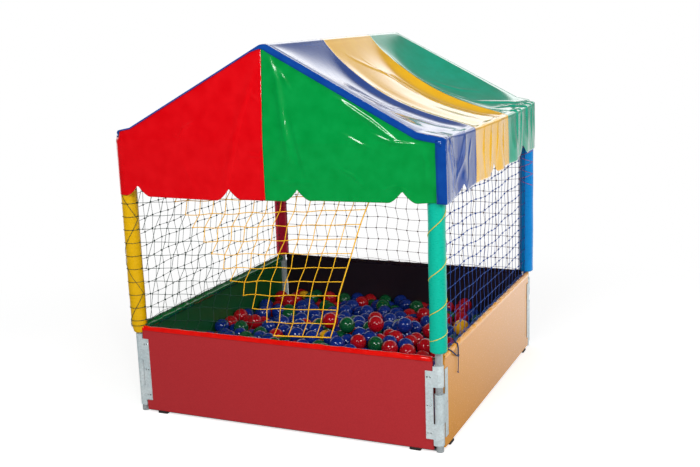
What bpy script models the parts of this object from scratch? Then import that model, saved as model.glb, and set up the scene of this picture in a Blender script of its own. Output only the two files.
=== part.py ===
"""Square children's ball pit with corner posts, safety nets and a sewn, striped roof cover.

Four boards stand on rubber feet. Hinge leaves on the boards carry knuckles, and the
knuckles take the corner posts as their pins. Rails join the post tops, nets hang from
the rails, and two arches with a ridge tube stand on pins of the rails and hold the cover.
+Z is up, the front faces -Y, and the origin is under the centre, on the ground.
"""

import math

import bmesh
import bpy
from mathutils import Matrix, Vector

# Overall sizes and clearances, in metres
pit_width = 1.50
touch_gap = 0.0003
cover_gap = 0.0005
margin_gap = 0.0008

# Corner posts: galvanised tube, and the foam sleeves that pad them
post_radius = 0.016
post_wall = 0.002
post_foot_height = 0.002
post_top_rise = 0.028
foam_radius = 0.036
foam_bottom_heights = {
    "front_left": 0.418,
    "front_right": 0.438,
    "back_left": 0.418,
    "back_right": 0.419,
}

# Hinge leaves: a strap rolled into knuckles that turn on the post
barrel_radius = 0.020
barrel_clearance = 0.0009
leaf_thickness = 0.003
leaf_reach = 0.054
leaf_inner_reach = 0.0208
leaf_bottom = 0.060
leaf_top = 0.358
lower_knuckle_bottom = 0.032
lower_knuckle_top = 0.128
middle_knuckle_length = 0.1267
upper_knuckle_bottoms = {
    "front_left": 0.2553,
    "front_right": 0.288,
    "back_left": 0.2553,
    "back_right": 0.288,
}
upper_knuckle_top = 0.379
knuckle_gap = 0.0003

# Boards, their edge trims and feet
board_thickness = 0.016
board_end_gap = 0.0235
board_bottom = 0.0113
board_top = 0.4145
board_edge_radius = 0.0015
trim_wall = 0.0025
trim_leg = 0.017
foot_length = 0.050
foot_depth = 0.022
foot_inset = 0.105
foot_edge_radius = 0.002

# Floor mat
mat_thickness = 0.020
mat_corner_gap = 0.002

# Balls: the packed lower balls are one bed with a domed top, and a few lie on it
ball_radius = 0.0395
ball_pitch = 0.081
bed_cell_rise = 0.009
bed_low_height = 0.185
bed_heap_height = 0.075
bed_heap_reach = 0.52
bed_ripple = 0.006
bed_ripple_length = 0.21
ball_rest_gap = 0.0003

# Top rails with the upright pins that the roof arches stand on
rail_radius = 0.0127
rail_wall = 0.0015
rail_height = 1.290
pin_radius = 0.0085
pin_height = 0.011
arch_foot_inset = 0.060

# Roof arches and ridge tube: rises are above the rails' axes
arch_knee_rise = 0.032
arch_peak_rise = 0.388
arch_knee_bend = 0.020
arch_peak_bend = 0.040

# Roof cover: vinyl sheet, three stripes over the ridge and two panels in each gable.
# Rises and the drop to the hem are from the rails' axes.
cover_thickness = 0.002
cover_hem_drop = 0.243
cover_shelf_rise = 0.0295
cover_mid_shelf_rise = 0.016
cover_corner_round = 0.009
cover_sag = 0.085
cover_valance_wave = 0.0035
cover_valance_wave_length = 0.30
notch_depth = 0.048
notch_half_width = 0.0475
rake_margin = 0.026
corner_margin = 0.007
front_right_corner_margin = 0.038

# Nets: knotted cord with a border rope
net_strand = 0.005
net_thickness = 0.003
net_side_clearance = 0.0055
side_net_bottom = 0.4185
front_net_bottom = 0.457
entry_top_width = 0.1585
entry_bottom_width = 0.4445
side_net_columns = 8
side_net_rows = 5
front_net_columns = 10
front_net_rows = 6

# Cords: the lashing round the front right foam sleeve, and the tied end of the right net
lashing_radius = 0.0015
lashing_turns = 5
lashing_bottom = 0.452
lashing_top = 1.240
lashing_points_per_turn = 12
tie_radius = 0.0015
tie_stand_off = 0.001
tie_place = 0.545
tie_tail_bottom = 0.288
tie_lean = 0.006

# Places as shares: the cover's of its half width, the balls' of the board's inner half width
blue_seam_shares = {"ridge": -0.2673, "left": -0.3308, "right": -0.4346}
green_seam_shares = {"ridge": 0.4554, "left": 0.3399, "right": 0.2660}
gable_seam_share = -0.0156
gable_notch_shares = (-0.8433, -0.2413, 0.1803, 0.7823)
heap_centre_shares = (0.137, -0.301)
loose_ball_shares = {
    "blue": (0.4425, 0.0115),
    "red": (-0.1046, -0.0635),
    "green": (0.0889, -0.1767),
    "yellow": (0.7661, 0.1738),
    "red_second": (0.3243, -0.117),
}

# Shapes without a size of their own
knuckle_segments = 15
post_sides = 16
pipe_sides = 10
bend_steps = 2
roof_slope_steps = 5
sag_shift_share = 0.8
edge_hold_power = 4
notch_shoulder_share = 0.5
notch_shoulder_depth_share = 0.38
gable_row_shares = (0, 0.45, 1)
lashing_pitch_power = 1.5
smooth_limit_degrees = 40
flat_wall_tolerance = 0.0003

# Places that follow from the sizes above
post_axis = pit_width / 2 - barrel_radius
board_face = pit_width / 2 - leaf_thickness - touch_gap
board_inner = board_face - board_thickness
board_half_length = post_axis - board_end_gap
arch_foot_x = post_axis - arch_foot_inset
arch_knee_height = rail_height + arch_knee_rise
arch_peak_height = rail_height + arch_peak_rise
post_top_height = rail_height + post_top_rise
cover_hem_height = rail_height - cover_hem_drop
cover_shelf_height = rail_height + cover_shelf_rise
cover_mid_shelf_height = rail_height + cover_mid_shelf_rise
rail_half_length = post_axis - post_radius - touch_gap
rail_reach = rail_radius * math.cos(math.pi / pipe_sides)
net_top = rail_height - rail_reach - touch_gap
front_net_top = rail_height - rail_radius - 2 * touch_gap
net_half_width = post_axis - foam_radius - net_side_clearance
lashing_swell = 1 / math.cos(math.pi / lashing_points_per_turn)
lashing_path_radius = (foam_radius + touch_gap) * lashing_swell + lashing_radius
valance_inner = post_axis + lashing_path_radius + lashing_radius + cover_gap
ridge_inner_y = post_axis + rail_radius + cover_gap
roof_angle = math.atan2(arch_peak_height - arch_knee_height, arch_foot_x)
bed_cap_radius = ball_radius * ball_pitch / math.sqrt(3) / (2 * ball_radius + ball_rest_gap)
ridge_axis_height = arch_peak_height - arch_peak_bend * (1 / math.cos(roof_angle) - 1)

CORNERS = {
    "front_left": (-1, -1),
    "front_right": (1, -1),
    "back_left": (-1, 1),
    "back_right": (1, 1),
}
SIDES = {
    "front": (Vector((1, 0, 0)), Vector((0, -1, 0))),
    "back": (Vector((1, 0, 0)), Vector((0, 1, 0))),
    "left": (Vector((0, 1, 0)), Vector((-1, 0, 0))),
    "right": (Vector((0, 1, 0)), Vector((1, 0, 0))),
}
UP = Vector((0, 0, 1))


def clear_scene():
    for obj in list(bpy.data.objects):
        bpy.data.objects.remove(obj, do_unlink=True)


def material(name, hex_colour, roughness, metallic=0.0):
    """A Principled material from an sRGB colour."""

    def linear(value):
        return value / 12.92 if value <= 0.04045 else ((value + 0.055) / 1.055) ** 2.4

    made = bpy.data.materials.new(name)
    made.use_nodes = True
    shader = made.node_tree.nodes["Principled BSDF"]
    channels = [int(hex_colour[k : k + 2], 16) / 255 for k in (0, 2, 4)]
    shader.inputs["Base Color"].default_value = [linear(c) for c in channels] + [1]
    shader.inputs["Roughness"].default_value = roughness
    shader.inputs["Metallic"].default_value = metallic
    return made


def finish(name, bm, paint, smooth=False, origin=(0, 0, 0), parent=None):
    """Turns a bmesh into a named object whose origin lies at the given place."""
    bmesh.ops.translate(bm, verts=bm.verts, vec=-Vector(origin))
    bmesh.ops.recalc_face_normals(bm, faces=bm.faces)
    mesh = bpy.data.meshes.new(name)
    bm.to_mesh(mesh)
    bm.free()
    mesh.materials.append(paint)
    if smooth:
        mesh.shade_smooth()
        mesh.set_sharp_from_angle(angle=math.radians(smooth_limit_degrees))
    obj = bpy.data.objects.new(name, mesh)
    obj.location = Vector(origin)
    bpy.context.scene.collection.objects.link(obj)
    if parent:
        obj.parent = parent
        obj.location -= parent.location
    return obj


def empty(name, place, parent=None):
    obj = bpy.data.objects.new(name, None)
    obj.location = place
    obj.parent = parent
    bpy.context.scene.collection.objects.link(obj)
    return obj


def box(name, low, high, paint, edge_radius):
    """A block between two corners, with its edges broken."""
    bm = bmesh.new()
    bmesh.ops.create_cube(bm, size=1)
    low, high = Vector(low), Vector(high)
    bmesh.ops.scale(bm, vec=high - low, verts=bm.verts)
    bmesh.ops.translate(bm, vec=(low + high) / 2, verts=bm.verts)
    obj = finish(name, bm, paint)
    bevel = obj.modifiers.new("broken edges", "BEVEL")
    bevel.width = edge_radius
    bevel.segments = 1
    return obj


def prism(name, outline, start, end, paint):
    """A closed outline of points, drawn out from its start to its end by a shift each."""
    bm = bmesh.new()
    near = [bm.verts.new(Vector(p) + Vector(start)) for p in outline]
    far = [bm.verts.new(Vector(p) + Vector(end)) for p in outline]
    bm.faces.new(near)
    bm.faces.new(far[::-1])
    for k in range(len(outline)):
        after = (k + 1) % len(outline)
        bm.faces.new((near[k], far[k], far[after], near[after]))
    return finish(name, bm, paint)


def pipe(name, path, side, outer, bore, sides, paint, origin=(0, 0, 0), parent=None):
    """A tube with open ends along a flat path, whose plane has the normal given as side."""
    path = [Vector(p) for p in path]
    side = Vector(side)
    bm = bmesh.new()
    rings = []
    for k, centre in enumerate(path):
        before = (path[k] - path[k - 1]).normalized() if k else None
        after = (path[k + 1] - path[k]).normalized() if k + 1 < len(path) else None
        tangent = ((before or after) + (after or before)).normalized()
        stretch = 1 / tangent.dot(before or after)
        across = tangent.cross(side) * stretch
        ring = []
        for radius in (outer, bore):
            angles = [2 * math.pi * (n + 0.5) / sides for n in range(sides)]
            spots = [centre + radius * (math.cos(a) * side + math.sin(a) * across) for a in angles]
            ring.append([bm.verts.new(s) for s in spots])
        rings.append(ring)
    for first, second in zip(rings, rings[1:]):
        for wall in (0, 1):
            bridge(bm, first[wall], second[wall])
    for end in (rings[0], rings[-1]):
        bridge(bm, end[0], end[1])
    return finish(name, bm, paint, True, origin, parent)


def bridge(bm, first, second):
    """Quads between two closed rings of vertices."""
    for k in range(len(first)):
        after = (k + 1) % len(first)
        bm.faces.new((first[k], first[after], second[after], second[k]))


def bent_path(points, radii):
    """Points of a path with each inner corner turned into an arc of its radius."""
    points = [Vector(p) for p in points]
    path = [points[0]]
    for before, corner, after, radius in zip(points, points[1:], points[2:], radii):
        back = (before - corner).normalized()
        on = (after - corner).normalized()
        half = back.angle(on) / 2
        centre = corner + (back + on).normalized() * radius / math.sin(half)
        first = corner + back * radius / math.tan(half) - centre
        last = corner + on * radius / math.tan(half) - centre
        turn = first.angle(last)
        for n in range(bend_steps + 1):
            share = n / bend_steps
            arm = first * math.sin((1 - share) * turn) + last * math.sin(share * turn)
            path.append(centre + arm / math.sin(turn))
    path.append(points[-1])
    return path


# Boards, trims, feet and mat


def board_box(side, low, high):
    """Corners of a block on a side: along it, outwards and up."""
    along, out = SIDES[side]
    first = along * low[0] + out * low[1] + UP * low[2]
    second = along * high[0] + out * high[1] + UP * high[2]
    lowest = [min(a, b) for a, b in zip(first, second)]
    highest = [max(a, b) for a, b in zip(first, second)]
    return lowest, highest


def make_board(side, paint):
    low = (-board_half_length, board_inner, board_bottom)
    high = (board_half_length, board_face, board_top)
    box(f"{side}_panel", *board_box(side, low, high), paint, board_edge_radius)


def make_trim(side, paint):
    """A channel that sits over the board's top edge."""
    along, out = SIDES[side]
    face = board_face + touch_gap
    inner = board_inner - touch_gap
    crown = board_top + touch_gap
    foot = crown + trim_wall - trim_leg
    outline = [
        (face, foot),
        (face + trim_wall, foot),
        (face + trim_wall, crown + trim_wall),
        (inner - trim_wall, crown + trim_wall),
        (inner - trim_wall, foot),
        (inner, foot),
        (inner, crown),
        (face, crown),
    ]
    points = [out * reach + UP * height for reach, height in outline]
    shift = along * board_half_length
    prism(f"{side}_edge_trim", points, -shift, shift, paint)


def make_feet(side, paint):
    middle = (board_face + board_inner) / 2
    names = ("left", "right") if side in ("front", "back") else ("front", "back")
    for name, sign in zip(names, (-1, 1)):
        centre = sign * (post_axis - foot_inset)
        low = (centre - foot_length / 2, middle - foot_depth / 2, 0)
        high = (centre + foot_length / 2, middle + foot_depth / 2, board_bottom - touch_gap)
        box(f"{side}_panel_{name}_foot", *board_box(side, low, high), paint, foot_edge_radius)


def make_mat(paint):
    """A square mat between the boards' feet, with its corners cut off at the knuckles."""
    half = (board_face + board_inner) / 2 - foot_depth / 2 - touch_gap
    cut = (barrel_radius + mat_corner_gap) * math.sqrt(2) + 2 * (half - post_axis)
    outline = []
    for across, along in ((1, -1), (1, 1), (-1, 1), (-1, -1)):
        side_first = across * along < 0
        first = Vector((across * (half - cut), along * half, 0))
        second = Vector((across * half, along * (half - cut), 0))
        outline += [first, second] if side_first else [second, first]
    prism("floor_mat", outline, (0, 0, 0), (0, 0, mat_thickness), paint)


# Hinge leaves


def leaf_section():
    """Points and faces of the leaf seen from above: knuckle ring, strap and plate."""
    bore = post_radius + barrel_clearance
    inner_face = barrel_radius - leaf_thickness
    meeting = math.asin(inner_face / barrel_radius)
    start = math.pi / 2
    sweep = 2 * math.pi - (start - meeting)
    angles = [start + sweep * n / knuckle_segments for n in range(knuckle_segments + 1)]
    points = []
    for radius in (barrel_radius, bore):
        points += [(radius * math.cos(a), radius * math.sin(a)) for a in angles]
    count = len(angles)
    ring = []
    for k in range(count):
        after = (k + 1) % count
        ring.append((k, after, count + after, count + k))
    for reach in (leaf_inner_reach, leaf_reach):
        points += [(reach, inner_face), (reach, barrel_radius)]
    strap = (count - 1, 2 * count, 2 * count + 1, 0)
    plate = (2 * count, 2 * count + 2, 2 * count + 3, 2 * count + 1)
    return points, ring + [strap], [plate]


def make_leaf(name, corner, along, out, knuckles, paint):
    """A plate with its knuckles, each between two heights, at the corner's post axis."""
    points, knuckle_faces, plate_faces = leaf_section()
    heights = sorted({leaf_bottom, leaf_top, *[h for pair in knuckles for h in pair]})
    bm = bmesh.new()
    levels = []
    for height in heights:
        spots = [along * u + out * v + UP * height for u, v in points]
        levels.append([bm.verts.new(s) for s in spots])
    stacks = []
    for low, high in zip(heights, heights[1:]):
        faces = []
        if any(start <= low and high <= end for start, end in knuckles):
            faces += knuckle_faces
        if leaf_bottom <= low and high <= leaf_top:
            faces += plate_faces
        stacks.append(faces)
    for k, faces in enumerate(stacks):
        edges = {}
        for face in faces:
            for a, b in zip(face, face[1:] + face[:1]):
                edges.setdefault(frozenset((a, b)), []).append((a, b))
        for pair in edges.values():
            if len(pair) == 1:
                a, b = pair[0]
                bm.faces.new((levels[k][a], levels[k][b], levels[k + 1][b], levels[k + 1][a]))
    for k, level in enumerate(levels):
        below = stacks[k - 1] if k else []
        above = stacks[k] if k < len(stacks) else []
        for face in knuckle_faces + plate_faces:
            if (face in below) != (face in above):
                bm.faces.new([level[n] for n in face])
    bmesh.ops.delete(bm, geom=[v for v in bm.verts if not v.link_faces], context="VERTS")
    bmesh.ops.recalc_face_normals(bm, faces=bm.faces)
    merge_walls(bm)
    post = Vector((corner[0] * post_axis, corner[1] * post_axis, 0))
    bmesh.ops.translate(bm, verts=bm.verts, vec=post)
    finish(name, bm, paint, True, post)


def merge_walls(bm):
    """Joins upright faces that continue each other across a level line."""
    flat = []
    for edge in bm.edges:
        level = edge.verts[0].co.z == edge.verts[1].co.z
        if level and len(edge.link_faces) == 2:
            first, second = edge.link_faces
            if first.normal.dot(second.normal) > 1 - flat_wall_tolerance:
                if abs(first.normal.z) < flat_wall_tolerance:
                    flat.append(edge)
    bmesh.ops.dissolve_edges(bm, edges=flat, use_verts=True)


def make_hinge(name, corner, paint):
    """The two leaves of a corner: the outer leaf has two knuckles, the other has one."""
    sign_x, sign_y = corner
    upper = (upper_knuckle_bottoms[name], upper_knuckle_top)
    lower = (lower_knuckle_bottom, lower_knuckle_top)
    middle_bottom = lower_knuckle_top + knuckle_gap
    middle = (middle_bottom, middle_bottom + middle_knuckle_length - knuckle_gap)
    inward_x, out_y = Vector((-sign_x, 0, 0)), Vector((0, sign_y, 0))
    inward_y, out_x = Vector((0, -sign_y, 0)), Vector((sign_x, 0, 0))
    make_leaf(f"{name}_hinge_outer_leaf", corner, inward_x, out_y, [lower, upper], paint)
    make_leaf(f"{name}_hinge_middle_leaf", corner, inward_y, out_x, [middle], paint)


# Posts, foam sleeves and top rails


def make_post(name, corner, steel, foam):
    place = Vector((corner[0] * post_axis, corner[1] * post_axis, 0))
    ends = [place + UP * post_foot_height, place + UP * post_top_height]
    bore = post_radius - post_wall
    pipe(f"{name}_post", ends, (1, 0, 0), post_radius, bore, post_sides, steel, place)
    foam_top = rail_height - rail_radius - touch_gap
    ends = [place + UP * foam_bottom_heights[name], place + UP * foam_top]
    bore = post_radius + touch_gap
    pipe(f"{name}_foam_sleeve", ends, (1, 0, 0), foam_radius, bore, post_sides, foam, place)


def make_rail(side, paint):
    along, out = SIDES[side]
    centre = out * post_axis + UP * rail_height
    ends = [centre - along * rail_half_length, centre + along * rail_half_length]
    bore = rail_radius - rail_wall
    name = f"{side}_top_rail"
    rail = pipe(name, ends, UP, rail_radius, bore, pipe_sides, paint, centre)
    if side not in ("front", "back"):
        return
    for sign in (-1, 1):
        bm = bmesh.new()
        height = rail_radius + pin_height
        bmesh.ops.create_cone(
            bm, segments=pipe_sides, cap_ends=True, radius1=pin_radius, radius2=pin_radius, depth=height
        )
        place = centre + along * sign * arch_foot_x + UP * height / 2
        bmesh.ops.translate(bm, verts=bm.verts, vec=place)
        pin = finish(f"{name}_pin_guide", bm, paint)
        pin.hide_render = True
        pin.display_type = "WIRE"
        union = rail.modifiers.new("pin", "BOOLEAN")
        union.operation = "UNION"
        union.object = pin


# Roof frame


def arch_corners(place_y):
    """The arch's sharp corners from its left foot to its right foot."""
    foot = rail_height + rail_reach + touch_gap
    half = [(arch_foot_x, foot), (arch_foot_x, arch_knee_height)]
    left = [(-x, place_y, z) for x, z in half]
    right = [(x, place_y, z) for x, z in half[::-1]]
    return left + [(0, place_y, arch_peak_height)] + right


def make_roof_frame(roof, paint):
    bore = rail_radius - rail_wall
    radii = (arch_knee_bend, arch_peak_bend, arch_knee_bend)
    for side in ("front", "back"):
        place_y = SIDES[side][1].y * post_axis
        path = bent_path(arch_corners(place_y), radii)
        name = f"{side}_roof_arch"
        origin = (0, place_y, rail_height)
        pipe(name, path, (0, 1, 0), rail_radius, bore, pipe_sides, paint, origin, roof)
    half = post_axis - rail_reach - touch_gap
    ends = [(0, -half, ridge_axis_height), (0, half, ridge_axis_height)]
    pipe("ridge_tube", ends, UP, rail_radius, bore, pipe_sides, paint, (0, 0, rail_height), roof)


# Roof cover


def slope_height(reach):
    """Height of the cover's inner face where it lies on an arch, at a distance from the ridge."""
    lift = (rail_radius + cover_gap) / math.cos(roof_angle)
    return arch_peak_height + lift - reach * math.tan(roof_angle)


def cover_profile():
    """Inner face from the ridge down to the hem, on an arch and midway between the arches."""
    crown = arch_peak_bend + rail_radius + cover_gap
    crown_centre = ridge_axis_height - arch_peak_bend
    held, slack = [], []
    for n in range(bend_steps // 2 + 1):
        angle = roof_angle * n / (bend_steps // 2)
        spot = (crown * math.sin(angle), crown_centre + crown * math.cos(angle))
        held.append(spot)
        slack.append(spot)
    start = held[-1][0]
    eave = post_axis + rail_radius
    for n in range(1, roof_slope_steps + 1):
        share = n / roof_slope_steps
        reach = start + (arch_foot_x - start) * share
        held.append((reach, slope_height(reach)))
        fall = (reach - start) / (eave - start)
        line = slack[bend_steps // 2][1] * (1 - fall) + cover_mid_shelf_height * fall
        dip = cover_sag * math.sin(math.pi * fall**sag_shift_share)
        slack.append((reach, line - dip))
    for path, shelf in ((held, cover_shelf_height), (slack, cover_mid_shelf_height)):
        path.append((valance_inner - cover_corner_round, shelf))
        path.append((valance_inner, shelf - cover_corner_round))
        path.append((valance_inner, rail_height))
        path.append((valance_inner, cover_hem_height + notch_depth))
        path.append((valance_inner, cover_hem_height))
    return held, slack


def mirrored(path):
    return [(-x, z) for x, z in path[:0:-1]] + path


def mitred_normals(path):
    """Outward normals of a path of (x, z), long enough to keep an even thickness at corners."""
    normals = []
    for k in range(len(path)):
        steps = []
        for a, b in ((k - 1, k), (k, k + 1)):
            if 0 <= a and b < len(path):
                step = Vector((path[b][0] - path[a][0], path[b][1] - path[a][1])).normalized()
                steps.append(Vector((-step.y, step.x)))
        total = steps[0] + steps[-1]
        normal = total.normalized()
        normals.append(normal / normal.dot(steps[0]))
    return normals


def gable_face(height):
    """Distance from the centre of a gable panel's inner face: it leans in above the eave."""
    share = (height - rail_height) / (ridge_axis_height - rail_height)
    share = max(share, 0)
    return valance_inner + (ridge_inner_y - valance_inner) * share


def margin_face(height):
    """Distance from the centre of the inner face of a stripe's folded margin."""
    return gable_face(height) + cover_thickness + margin_gap


def notch_rise(offset):
    """How far the hem rises at a distance from the middle of a notch."""
    share = min(abs(offset) / notch_half_width, 1)
    if share <= notch_shoulder_share:
        shoulder = notch_shoulder_depth_share
        return notch_depth * (1 - (1 - shoulder) * share / notch_shoulder_share)
    rest = (1 - share) / (1 - notch_shoulder_share)
    return notch_depth * notch_shoulder_depth_share * rest


def notch_columns(middle):
    shoulder = notch_half_width * notch_shoulder_share
    return [middle + o for o in (-notch_half_width, -shoulder, 0, shoulder, notch_half_width)]


def seam_place(seam, reach):
    """Where a stripe seam lies along the ridge direction, at a signed distance from the ridge."""
    foot = seam["right"] if reach > 0 else seam["left"]
    share = seam["ridge"] + (foot - seam["ridge"]) * min(abs(reach) / valance_inner, 1)
    return share * valance_inner


def closed_sheet(name, inner, outer, paint, parent):
    """A solid sheet between two grids of points that match."""
    bm = bmesh.new()
    grids = [[[bm.verts.new(p) for p in row] for row in grid] for grid in (inner, outer)]
    rows, columns = len(inner), len(inner[0])
    for grid in grids:
        for r in range(rows - 1):
            for c in range(columns - 1):
                spots = (grid[r][c], grid[r][c + 1], grid[r + 1][c + 1], grid[r + 1][c])
                bm.faces.new(spots)
    rim = [(0, c) for c in range(columns)]
    rim += [(r, columns - 1) for r in range(1, rows)]
    rim += [(rows - 1, c) for c in range(columns - 2, -1, -1)]
    rim += [(r, 0) for r in range(rows - 2, 0, -1)]
    for (r, c), (s, d) in zip(rim, rim[1:] + rim[:1]):
        bm.faces.new((grids[0][r][c], grids[0][s][d], grids[1][s][d], grids[1][r][c]))
    return finish(name, bm, paint, True, (0, 0, rail_height), parent)


def make_stripe(name, seams, notch_places, paint, cover):
    """A roof stripe from one hem over the ridge to the other hem.

    seams holds the seam at each end, or None where the stripe ends in a folded margin.
    """
    held, slack = (mirrored(path) for path in cover_profile())
    normals = [mitred_normals(path) for path in (held, slack)]
    arch_inner = post_axis - rail_radius - cover_gap
    inner, outer = [], []
    for k in range(len(held)):
        reach = held[k][0]
        right = reach > 0
        last = k in (0, len(held) - 1)
        near_hem = abs(reach) > arch_foot_x
        notch = notch_places[1] if right else notch_places[0]
        ends = [seam_place(s, reach) if s else None for s in seams]
        columns = []
        if seams[0] is None:
            columns += [("tip", -1), ("fold", -1), (None, -arch_inner)]
        else:
            columns.append((None, ends[0] + touch_gap / 2))
        columns += [(None, place) for place in notch_columns(notch)]
        if seams[1] is None:
            columns += [(None, arch_inner), ("fold", 1), ("tip", 1)]
        else:
            columns.append((None, ends[1] - touch_gap / 2))
        row_in, row_out = [], []
        for kind, place in columns:
            fixed = kind or abs(place) >= arch_inner
            slackness = 0 if fixed else 1 - (abs(place) / arch_inner) ** edge_hold_power
            x = held[k][0] + (slack[k][0] - held[k][0]) * slackness
            z = held[k][1] + (slack[k][1] - held[k][1]) * slackness
            normal = normals[0][k].lerp(normals[1][k], slackness)
            if last and not kind:
                z += notch_rise(place - notch)
            if near_hem and not kind and abs(place) < arch_inner:
                wave = math.sin(2 * math.pi * place / cover_valance_wave_length)
                drop = (cover_shelf_height - z) / (cover_shelf_height - cover_hem_height)
                x += math.copysign(cover_valance_wave * (1 + wave) * max(drop, 0), reach)
            out = Vector((normal.x, 0, normal.y))
            spot = Vector((x, place, z))
            if kind == "fold":
                out.y = place
            if kind == "tip":
                width = rake_margin
                if near_hem:
                    width = corner_margin
                    if right and place < 0:
                        width = front_right_corner_margin
                spot.x -= normal.x * width
                spot.z -= normal.y * width
                out = Vector((0, place, 0))
            if kind:
                spot.y = place * margin_face(spot.z)
            row_in.append(spot)
            row_out.append(spot + out * cover_thickness)
        inner.append(row_in)
        outer.append(row_out)
    closed_sheet(name, inner, outer, paint, cover)


def rake_height(reach):
    """Height of a gable panel's top edge, just inside the stripes that lie over it."""
    held, _ = cover_profile()
    for (x0, z0), (x1, z1) in zip(held, held[1:]):
        if x0 <= abs(reach) <= x1:
            return z0 + (z1 - z0) * (abs(reach) - x0) / (x1 - x0) - cover_gap
    return held[-4][1] - cover_gap


def make_gable(name, side, low_x, high_x, notches, paint, cover):
    """Half of a gable panel, from the hem up to the rake."""
    facing = SIDES[side][1].y
    places = {low_x, high_x}
    for notch in notches:
        places.update(notch_columns(notch))
    for kink in (arch_foot_x, valance_inner - cover_corner_round):
        places.update(x for x in (-kink, kink) if low_x < x < high_x)
    ordered = sorted(places)
    widest = max(zip(ordered, ordered[1:]), key=lambda pair: pair[1] - pair[0])
    ordered = sorted(ordered + [(widest[0] + widest[1]) / 2])
    inner, outer = [], []
    for x in ordered:
        rise = max([notch_rise(x - n) for n in notches])
        top = rake_height(x)
        eave = min(rail_height, top)
        heights = [cover_hem_height + rise, (cover_hem_height + notch_depth + eave) / 2]
        heights += [eave + (top - eave) * share for share in gable_row_shares]
        if top <= eave:
            last = len(heights) - 1
            heights = [heights[0] + (top - heights[0]) * n / last for n in range(last + 1)]
        row = [Vector((x, facing * gable_face(z), z)) for z in heights]
        inner.append(row)
        outer.append([p + Vector((0, facing * cover_thickness, 0)) for p in row])
    closed_sheet(name, inner, outer, paint, cover)


def make_cover(cover, paints):
    blue_seam, green_seam = blue_seam_shares, green_seam_shares
    blue_ends = [seam_place(blue_seam, sign * valance_inner) for sign in (-1, 1)]
    green_ends = [seam_place(green_seam, sign * valance_inner) for sign in (-1, 1)]
    blue_notches = [(end - valance_inner) / 2 for end in blue_ends]
    yellow_notches = [(a + b) / 2 for a, b in zip(blue_ends, green_ends)]
    green_notches = [(end + valance_inner) / 2 for end in green_ends]
    make_stripe("cover_blue_stripe", (None, blue_seam), blue_notches, paints["blue"], cover)
    seams = (blue_seam, green_seam)
    make_stripe("cover_yellow_stripe", seams, yellow_notches, paints["yellow"], cover)
    make_stripe("cover_green_stripe", (green_seam, None), green_notches, paints["teal"], cover)
    end = valance_inner - touch_gap
    seam = gable_seam_share * valance_inner
    notches = [share * valance_inner for share in gable_notch_shares]
    left, right = notches[:2], notches[2:]
    for side in ("front", "back"):
        spots = (-end, seam - touch_gap / 2, left)
        make_gable(f"cover_{side}_red_gable", side, *spots, paints["red"], cover)
        spots = (seam + touch_gap / 2, end, right)
        make_gable(f"cover_{side}_green_gable", side, *spots, paints["green"], cover)


# Nets


def make_net(name, cells, place, across, paint, origin=(0, 0, 0)):
    """A flat net of square gaps: place gives each crossing, across the net's normal."""
    bm = bmesh.new()
    front, back = Vector(across) * net_thickness / 2, Vector(across) * -net_thickness / 2
    crossings = {}

    def crossing(i, j):
        if (i, j) not in crossings:
            spot = place(i, j)
            crossings[i, j] = [bm.verts.new(spot + face) for face in (front, back)]
        return crossings[i, j]

    for i, j in sorted(cells):
        corners = [(i, j), (i + 1, j), (i + 1, j + 1), (i, j + 1)]
        outside = [crossing(*c) for c in corners]
        spots = [place(*c) for c in corners]
        beyond = [(i, j - 1), (i + 1, j), (i, j + 1), (i - 1, j)]
        widths = [net_strand / 2 if c in cells else net_strand for c in beyond]
        hole = []
        for k in range(4):
            on = (spots[(k + 1) % 4] - spots[k]).normalized()
            back_on = (spots[k - 1] - spots[k]).normalized()
            spot = spots[k] + on * widths[k - 1] + back_on * widths[k]
            hole.append([bm.verts.new(spot + face) for face in (front, back)])
        for k in range(4):
            after = (k + 1) % 4
            for face in (0, 1):
                quad = (outside[k][face], outside[after][face], hole[after][face], hole[k][face])
                bm.faces.new(quad)
            bm.faces.new((hole[k][0], hole[after][0], hole[after][1], hole[k][1]))
            if beyond[k] not in cells:
                bm.faces.new((outside[k][0], outside[after][0], outside[after][1], outside[k][1]))
    return finish(name, bm, paint, False, origin)


def make_side_net(side, paint):
    along, out = SIDES[side]

    def place(i, j):
        share = i / side_net_columns - 1 / 2
        height = net_top + (side_net_bottom - net_top) * j / side_net_rows
        return out * post_axis + along * 2 * net_half_width * share + UP * height

    cells = {(i, j) for i in range(side_net_columns) for j in range(side_net_rows)}
    make_net(f"{side}_net", cells, place, out, paint)


def front_net_place(i, j):
    """A crossing of the front net, which narrows towards its free right edge."""
    down = j / front_net_rows
    height = front_net_top + (front_net_bottom - front_net_top) * down
    right = net_half_width - entry_top_width - (entry_bottom_width - entry_top_width) * down
    x = -net_half_width + (right + net_half_width) * i / front_net_columns
    return Vector((x, -post_axis, height))


def make_front_net(green, yellow):
    """The net to the left of a stepped seam, and the flap that swings from the top rail."""
    fixed, free = set(), set()
    for j in range(front_net_rows):
        for i in range(front_net_columns):
            (fixed if i <= j else free).add((i, j))
    make_net("front_net", fixed, front_net_place, (0, -1, 0), green)
    shift = Vector((touch_gap, 0, touch_gap))

    def place(i, j):
        return front_net_place(i, j) + shift

    axis = (0, -post_axis, rail_height)
    make_net("front_net_flap", free, place, (0, -1, 0), yellow, axis)


# Balls


def bed_height(x, y):
    """Height of the tops of the packed balls: a low heap with a slight ripple."""
    centre = [share * board_inner for share in heap_centre_shares]
    away = math.hypot(x - centre[0], y - centre[1]) / bed_heap_reach
    ripple = math.sin(2 * math.pi * x / bed_ripple_length)
    ripple *= math.cos(2 * math.pi * y / bed_ripple_length)
    return bed_low_height + ball_radius + bed_heap_height * math.exp(-(away**2)) + bed_ripple * ripple


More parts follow.
